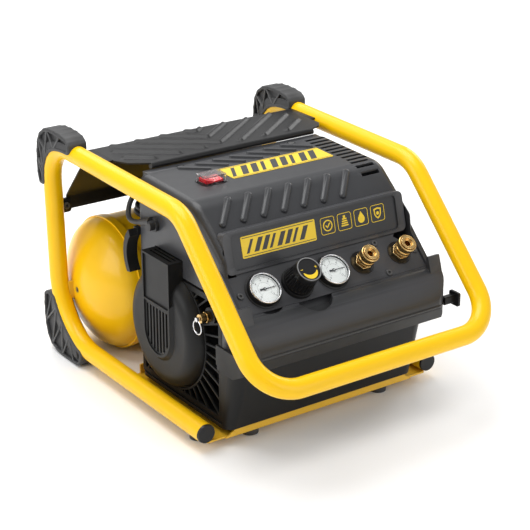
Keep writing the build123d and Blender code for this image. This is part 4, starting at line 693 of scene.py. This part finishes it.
guard_trim = bmesh.new()
tube(guard_trim, [mm(x, 84, 362) for x in (-146.5, -140, -60, 0, 60, 150, 159.5)], 5.0, segments=24)
for side in (-1, 1):
    slab(guard_trim, rounded_rect(12.6, 66, 2), Matrix.Translation(mm(side * 193.2, 160, 0)), 364.6, 366.9, 0.4)
    tab_plane = placed(mm(side * 190.5, 287.1, 248), (1, 0, 0), (0, 0, 1))
    slab(guard_trim, rounded_rect(21, 24, 4), tab_plane, 0.0, 5.0, 0.6)
piece("guard_lip_and_tabs", guard_trim, guard_paint, "chassis", ["rear_guard"])

# ---------------------------------------------------------------------------
# Corner bumpers: web, thick rim with a tread, diagonal ribs on the cheeks
# ---------------------------------------------------------------------------
BUMPERS = {
    "upper": ([(194, 361), (194, 381), (206, 388), (226, 391), (262, 391), (284, 384), (298, 369), (304, 348),
               (305, 316), (302, 294), (292, 288), (282, 292), (282, 318), (272, 342), (252, 356), (222, 361)],
              [((222, 389), (246, 360)), ((266, 387), (244, 360)), ((266, 387), (276, 342)),
               ((296, 368), (272, 348)), ((296, 368), (284, 322)), ((303, 334), (282, 316)),
               ((303, 334), (284, 300))]),
    "lower": ([(184, 31), (186, 12), (196, 2), (214, 0), (258, 0), (280, 5), (295, 16), (303, 34), (306, 58),
               (305, 94), (298, 104), (270, 103), (262, 86), (244, 63), (222, 46), (200, 34)],
              [((212, 2), (226, 46)), ((250, 2), (224, 46)), ((250, 2), (246, 62)), ((284, 10), (246, 62)),
               ((284, 10), (262, 84)), ((303, 46), (262, 84)), ((303, 46), (278, 101))]),
}
# Thicker band of each bumper that closes over the tube, (along, height) points
SADDLES = {
    "upper": [(199, 364), (224, 364), (254, 359), (275, 344), (285, 318), (285, 293), (292, 293), (293, 320),
              (285, 350), (264, 368), (228, 377), (199, 378)],
    "lower": [(204, 31), (222, 41), (245, 58), (264, 82), (272, 100), (284, 99), (281, 76), (262, 50), (236, 27),
              (210, 14), (200, 14)],
}
# Section of a bumper's rim: how far in from its outline, and how far out from its middle
RIM_PROFILE = ((0.0, -14.6), (1.0, -16.4), (2.6, -17.0), (5.0, -17.0), (5.8, -16.2), (6.0, -11.0),
               (6.0, 11.0), (5.8, 16.2), (5.0, 17.0), (2.6, 17.0), (1.0, 16.4), (0.0, 14.6))


def smooth_loop(points, passes=2):
    """Round the corners of a closed outline by cutting them repeatedly."""
    for _ in range(passes):
        cut = []
        for here, after in zip(points, points[1:] + points[:1]):
            cut.append((here[0] * 0.75 + after[0] * 0.25, here[1] * 0.75 + after[1] * 0.25))
            cut.append((here[0] * 0.25 + after[0] * 0.75, here[1] * 0.25 + after[1] * 0.75))
        points = cut
    return points


def even_loop(points, count):
    """Points spread evenly along a closed outline."""
    lengths = [math.dist(a, b) for a, b in zip(points, points[1:] + points[:1])]
    total = sum(lengths)
    spread, index, walked = [], 0, 0.0
    for step in range(count):
        target = total * step / count
        while walked + lengths[index] < target:
            walked += lengths[index]
            index += 1
        share = (target - walked) / lengths[index]
        a, b = points[index], points[(index + 1) % len(points)]
        spread.append((a[0] + (b[0] - a[0]) * share, a[1] + (b[1] - a[1]) * share))
    return spread


def shifted(points, distance):
    """The outline moved inwards by a distance (outwards when negative), point by point."""
    area = sum(a[0] * b[1] - b[0] * a[1] for a, b in zip(points, points[1:] + points[:1]))
    hand = 1 if area > 0 else -1
    moved = []
    for before, here, after in zip(points[-1:] + points[:-1], points, points[1:] + points[:1]):
        dx, dy = after[0] - before[0], after[1] - before[1]
        size = math.hypot(dx, dy) or 1.0
        step = distance(here) if callable(distance) else distance
        moved.append((here[0] - dy / size * step * hand, here[1] + dx / size * step * hand))
    return moved


for level, (profile, webs) in BUMPERS.items():
    outline = even_loop(smooth_loop(profile, 2), 180)
    for side in (-1, 1):
        across = placed(mm(side * 211, 0, 0), (0, 1, 0), (0, 0, 1))
        guard_block = bmesh.new()
        slab(guard_block, shifted(outline, 1.2), across, -11.5, 11.5)
        slab(guard_block, SADDLES[level], across, -15.6, 15.6, 0.8, 2)
        tread = [0.0, 0.0, 0.35, 0.9, 1.1, 0.9, 0.35, 0.0, 0.0]
        worn = []
        for k, (near, far) in enumerate(zip(shifted(outline, 0.2), shifted(outline, -0.7))):
            share = tread[k % 9] if (near[0] > 262 or near[1] > 378 or near[1] < 6) else 0.0
            worn.append((near[0] + (far[0] - near[0]) * share, max(0.0, near[1] + (far[1] - near[1]) * share)))
        rings = []
        for inset, height in RIM_PROFILE:
            base = shifted(worn, inset) if inset else worn
            rings.append([guard_block.verts.new(across @ Vector((a * MM, b * MM, height * MM)))
                          for a, b in base])
        for lower, upper in zip(rings, rings[1:] + rings[:1]):
            for k in range(len(outline)):
                after = (k + 1) % len(outline)
                guard_block.faces.new((lower[k], lower[after], upper[after], upper[k]))
        for start, end in webs:
            heading = Vector((end[0] - start[0], end[1] - start[1], 0)).normalized()
            wide = Vector((-heading.y, heading.x, 0)) * 1.6
            corners = [Vector((*start, 0)) + wide, Vector((*start, 0)) - wide, Vector((*end, 0)) - wide,
                       Vector((*end, 0)) + wide]
            inner = [c + heading * (3 if k < 2 else -3) for k, c in enumerate(corners)]
            slab(guard_block, [(c.x, c.y) for c in inner], across, -16.7, 16.7, 0.5, 1)
        piece(f"{level}_bumper_{'left' if side < 0 else 'right'}", guard_block, bumper_rubber, "chassis",
              [f"{level}_bumpers"], crease=45)

# ---------------------------------------------------------------------------
# The control panel runs on down behind the scallops of the front bumper
# ---------------------------------------------------------------------------
apron = bmesh.new()
slab(apron, [(-152, -52), (-8, -52), (-8, -26), (-152, -26)], panel_frame(0, 0), -9.2, -8.2, 0.3)
piece("panel_apron", apron, panel_plastic, "chassis")

# ---------------------------------------------------------------------------
# Moulded bead round the lower edge of the front bumper
# ---------------------------------------------------------------------------
BEAD_CORNER, BEAD_CORNER_Y = 25.0, -211.5
bead_line = [(-185, -200), (-185, -206)]
for corner_x, first in ((-160, 180), (160, 270)):
    for step in range(13):
        turn = math.radians(first + 90 * step / 12)
        bead_line.append((corner_x + BEAD_CORNER * math.cos(turn),
                          BEAD_CORNER_Y + BEAD_CORNER * math.sin(turn)))
bead_line += [(185, -206), (185, -200)]
bead = bmesh.new()
tube(bead, [mm(x, y, 165.5) for x, y in bead_line], 1.7, segments=14)
piece("front_bumper_bead", bead, panel_plastic, "chassis")

# ---------------------------------------------------------------------------
# Pressed ribs on the cover
# ---------------------------------------------------------------------------
# The cover's flat top starts here and rises a little to the back; its slope falls to the foot
COVER_TOP_Y, COVER_TOP_Z = -78, 354
COVER_RUN, COVER_RISE = 158, 4
COVER_FOOT_Z, COVER_SLOPE_RUN = 290, 79
tilt = math.atan2(COVER_RISE, COVER_RUN)
fall = math.atan2(COVER_TOP_Z - COVER_FOOT_Z, COVER_SLOPE_RUN)


def cover_top(y):
    """Height of the cover's top at a distance from the cage's middle."""
    return COVER_TOP_Z + (y - COVER_TOP_Y) * COVER_RISE / COVER_RUN


cover_ribs = bmesh.new()
slant = math.radians(37.5)
# The slope rolls into the flat top over this radius, from this far above the ribs' middle
SHOULDER_R, SHOULDER_START = 42.0, 10.1
slope_out = Vector((0, -math.sin(fall), math.cos(fall)))
for index in range(7):
    spot = mm(-131 + 36.2 * index, -97, 338.6)
    up_slope = Vector((0, math.cos(fall), math.sin(fall)))
    run = up_slope * math.cos(slant) + Vector((1, 0, 0)) * math.sin(slant)
    across = up_slope * -math.sin(slant) + Vector((1, 0, 0)) * math.cos(slant)
    before = len(cover_ribs.verts)
    capsule_rib(cover_ribs, placed(spot, across, run), 60, 11, 4.6, steps=24, around=12)
    cover_ribs.verts.ensure_lookup_table()
    for vert in cover_ribs.verts[before:]:
        over = (vert.co - spot).dot(up_slope) / MM - SHOULDER_START
        if over > 0:
            vert.co -= slope_out * (SHOULDER_R - math.sqrt(SHOULDER_R ** 2 - min(over, SHOULDER_R) ** 2)) * MM
for index in range(7):
    spot = mm(-92 + index * 32, 46, 357.0)
    back = Vector((0, math.cos(tilt), math.sin(tilt)))
    lean = math.radians(37)
    run = Vector((1, 0, 0)) * math.cos(lean) - back * math.sin(lean)
    across = Vector((1, 0, 0)) * math.sin(lean) + back * math.cos(lean)
    capsule_rib(cover_ribs, placed(spot, across, run), 55, 8.4, 3.4, steps=10, around=10)
piece("cover_ribs", cover_ribs, cover_plastic, "chassis", crease=60)

# ---------------------------------------------------------------------------
# Strip along the cover's rear edge, bitten out round the two top screws
# ---------------------------------------------------------------------------
STRIP_HALF, STRIP_FRONT, STRIP_BACK = 163.0, 62.2, 80.0
SCREW_Y, SCREW_BITE = 65, 7.0
strip_edge = [(-STRIP_HALF, 0.0)]
for screw_x in (-104, 104):
    for step in range(15):
        turn = math.radians(203.6 - 227.2 * step / 14)
        strip_edge.append((screw_x + SCREW_BITE * math.cos(turn),
                           SCREW_Y - STRIP_FRONT + SCREW_BITE * math.sin(turn)))
strip_edge += [(STRIP_HALF, 0.0), (STRIP_HALF, STRIP_BACK - STRIP_FRONT),
               (-STRIP_HALF, STRIP_BACK - STRIP_FRONT)]
rear_strip = bmesh.new()
strip_place = placed(mm(0, STRIP_FRONT, cover_top(STRIP_FRONT)), (1, 0, 0),
                     (0, math.cos(tilt), math.sin(tilt)))
slab(rear_strip, strip_edge, strip_place, -6.0, -0.05, 0.5)
rear_face = placed(mm(0, STRIP_BACK, 0), (1, 0, 0), (0, 0, 1))
slab(rear_strip, [(-STRIP_HALF, 340), (STRIP_HALF, 340), (STRIP_HALF, 356), (-STRIP_HALF, 356)],
     rear_face, 0.0, 3.0, 0.4)
piece("cover_rear_strip", rear_strip, cover_plastic, "chassis", crease=40)


# ---------------------------------------------------------------------------
# Labels: plain yellow fields with a generic bar pattern, and four pictograms
# ---------------------------------------------------------------------------
def name_frame(x, along, lift=0.0):
    """Frame on the steep plate behind the controls."""
    slope = math.radians(75.5)
    place = mm(x, -149 + along * math.cos(slope) - lift * math.sin(slope),
               267 + along * math.sin(slope) + lift * math.cos(slope))
    return placed(place, (1, 0, 0), (0, math.cos(slope), math.sin(slope)))


def top_frame(x, y):
    """Frame on the flat top of the cover."""
    return placed(mm(x, y, cover_top(y)), (1, 0, 0), (0, math.cos(tilt), math.sin(tilt)))


def bar_pattern(build, place, width, height, count):
    """Two pin stripes and a row of slanted bars of changing width."""
    for sign in (-1, 1):
        y = sign * (height / 2 - 2.6)
        slab(build, [(-width / 2 + 2, y - 0.5), (width / 2 - 2, y - 0.5), (width / 2 - 2, y + 0.5),
                     (-width / 2 + 2, y + 0.5)], place, 0.62, 0.72)
    pitch = (width - 24) / count
    tall = height / 2 - 6.2
    for index in range(count):
        left = -width / 2 + 12 + index * pitch
        wide = pitch * (0.62 if index % 3 else 0.36)
        lean = tall * 0.5
        slab(build, [(left - lean, -tall), (left + wide - lean, -tall), (left + wide + lean, tall),
                     (left + lean, tall)], place, 0.62, 0.72)


print_build = bmesh.new()
bar_pattern(print_build, name_frame(-67, 31), 132, 32, 8)
bar_pattern(print_build, top_frame(28, 0), 188, 46, 9)
piece("label_print", print_build, label_black, "chassis")


def stroke(build, place, points, width, low=0.0, high=0.5):
    """A printed line of constant width through points."""
    for start, end in zip(points, points[1:]):
        heading = Vector((end[0] - start[0], end[1] - start[1], 0)).normalized()
        wide = Vector((-heading.y, heading.x, 0)) * width / 2
        a, b = Vector((*start, 0)) - heading * width / 3, Vector((*end, 0)) + heading * width / 3
        slab(build, [tuple((a + wide).xy), tuple((a - wide).xy), tuple((b - wide).xy), tuple((b + wide).xy)],
             place, low, high)


def ring(build, place, outer, inner, high=0.5):
    """Flat raised ring between two outlines with the same number of points."""
    levels = []
    for outline, height in ((outer, 0.0), (outer, high), (inner, high), (inner, 0.0)):
        levels.append([build.verts.new(place @ Vector((x * MM, y * MM, height * MM))) for x, y in outline])
    for lower, upper in zip(levels, levels[1:] + levels[:1]):
        for k in range(len(outer)):
            after = (k + 1) % len(outer)
            build.faces.new((lower[k], lower[after], upper[after], upper[k]))


icons = bmesh.new()
for index in range(4):
    seat = name_frame(22 + index * 31.5, 32)
    ring(icons, seat, rounded_rect(26, 26, 4), rounded_rect(24.4, 24.4, 3.2))
    if index == 0:
        ring(icons, seat, disc(8.6, 40), disc(6.9, 40))
        stroke(icons, seat, [(-3.4, 0.4), (-0.8, -2.8), (3.8, 3.2)], 1.7)
    elif index == 1:
        for level in range(4):
            slab(icons, rounded_rect(13 - level * 1.6, 2, 0.6, 2),
                 seat @ Matrix.Translation(Vector((0, -6 + level * 3.3, 0)) * MM), 0.0, 0.5)
        slab(icons, rounded_rect(4, 4, 0.6, 2), seat @ Matrix.Translation(Vector((0, 7.2, 0)) * MM), 0.0, 0.5)
    elif index == 2:
        drop = [(0, 9)] + [(6.2 * math.cos(math.radians(a)), -2.4 + 6.2 * math.sin(math.radians(a)))
                           for a in range(35, -216, -10)]
        slab(icons, drop[::-1], seat, 0.0, 0.5)
    else:
        shield = [(-7, 7), (0, 8.6), (7, 7), (6.4, -1.5), (3.8, -6), (0, -8.8), (-3.8, -6), (-6.4, -1.5)]
        inner = [(x * 0.72, y * 0.72) for x, y in shield]
        ring(icons, seat, shield, inner)
        slab(icons, disc(2.6, 24), seat, 0.0, 0.5)
piece("pictogram_print", icons, label_yellow, "chassis", ["pictogram_labels"])

# ---------------------------------------------------------------------------
# Switch markings and the moulded seam of its boot
# ---------------------------------------------------------------------------
boot_foot = bmesh.new()
foot_place = top_frame(-100, -13)
ring(boot_foot, foot_place, rounded_rect(43, 31, 6), rounded_rect(40.2, 28.2, 5), 0.9)
piece("switch_boot_foot", boot_foot, knob_plastic, "chassis")
rocker_mark = bmesh.new()
mark_place = foot_place @ Matrix.Translation(Vector((7.2, 0, 3.55)) * MM) @ Matrix.Rotation(
    math.atan2(1.8, 15), 4, "Y").inverted()
ring(rocker_mark, mark_place, disc(3.0, 32), disc(2.2, 32), 0.15)
piece("rocker_mark", rocker_mark, dial_white, "rocker")

# ---------------------------------------------------------------------------
# Floor
# ---------------------------------------------------------------------------
floor_mesh = bpy.data.meshes.new("floor")
floor_build = bmesh.new()
bmesh.ops.create_grid(floor_build, x_segments=8, y_segments=8, size=6)
floor_build.to_mesh(floor_mesh)
floor_build.free()
floor = bpy.data.objects.new("floor", floor_mesh)
floor.location = (0, 0, -0.0005)
scene.collection.objects.link(floor)
floor_mesh.materials.append(shade("floor_paper", (0.95, 0.95, 0.95), 0.6, tint=0.01, tint_scale=1,
                                  grain=0.05, bevel=0))
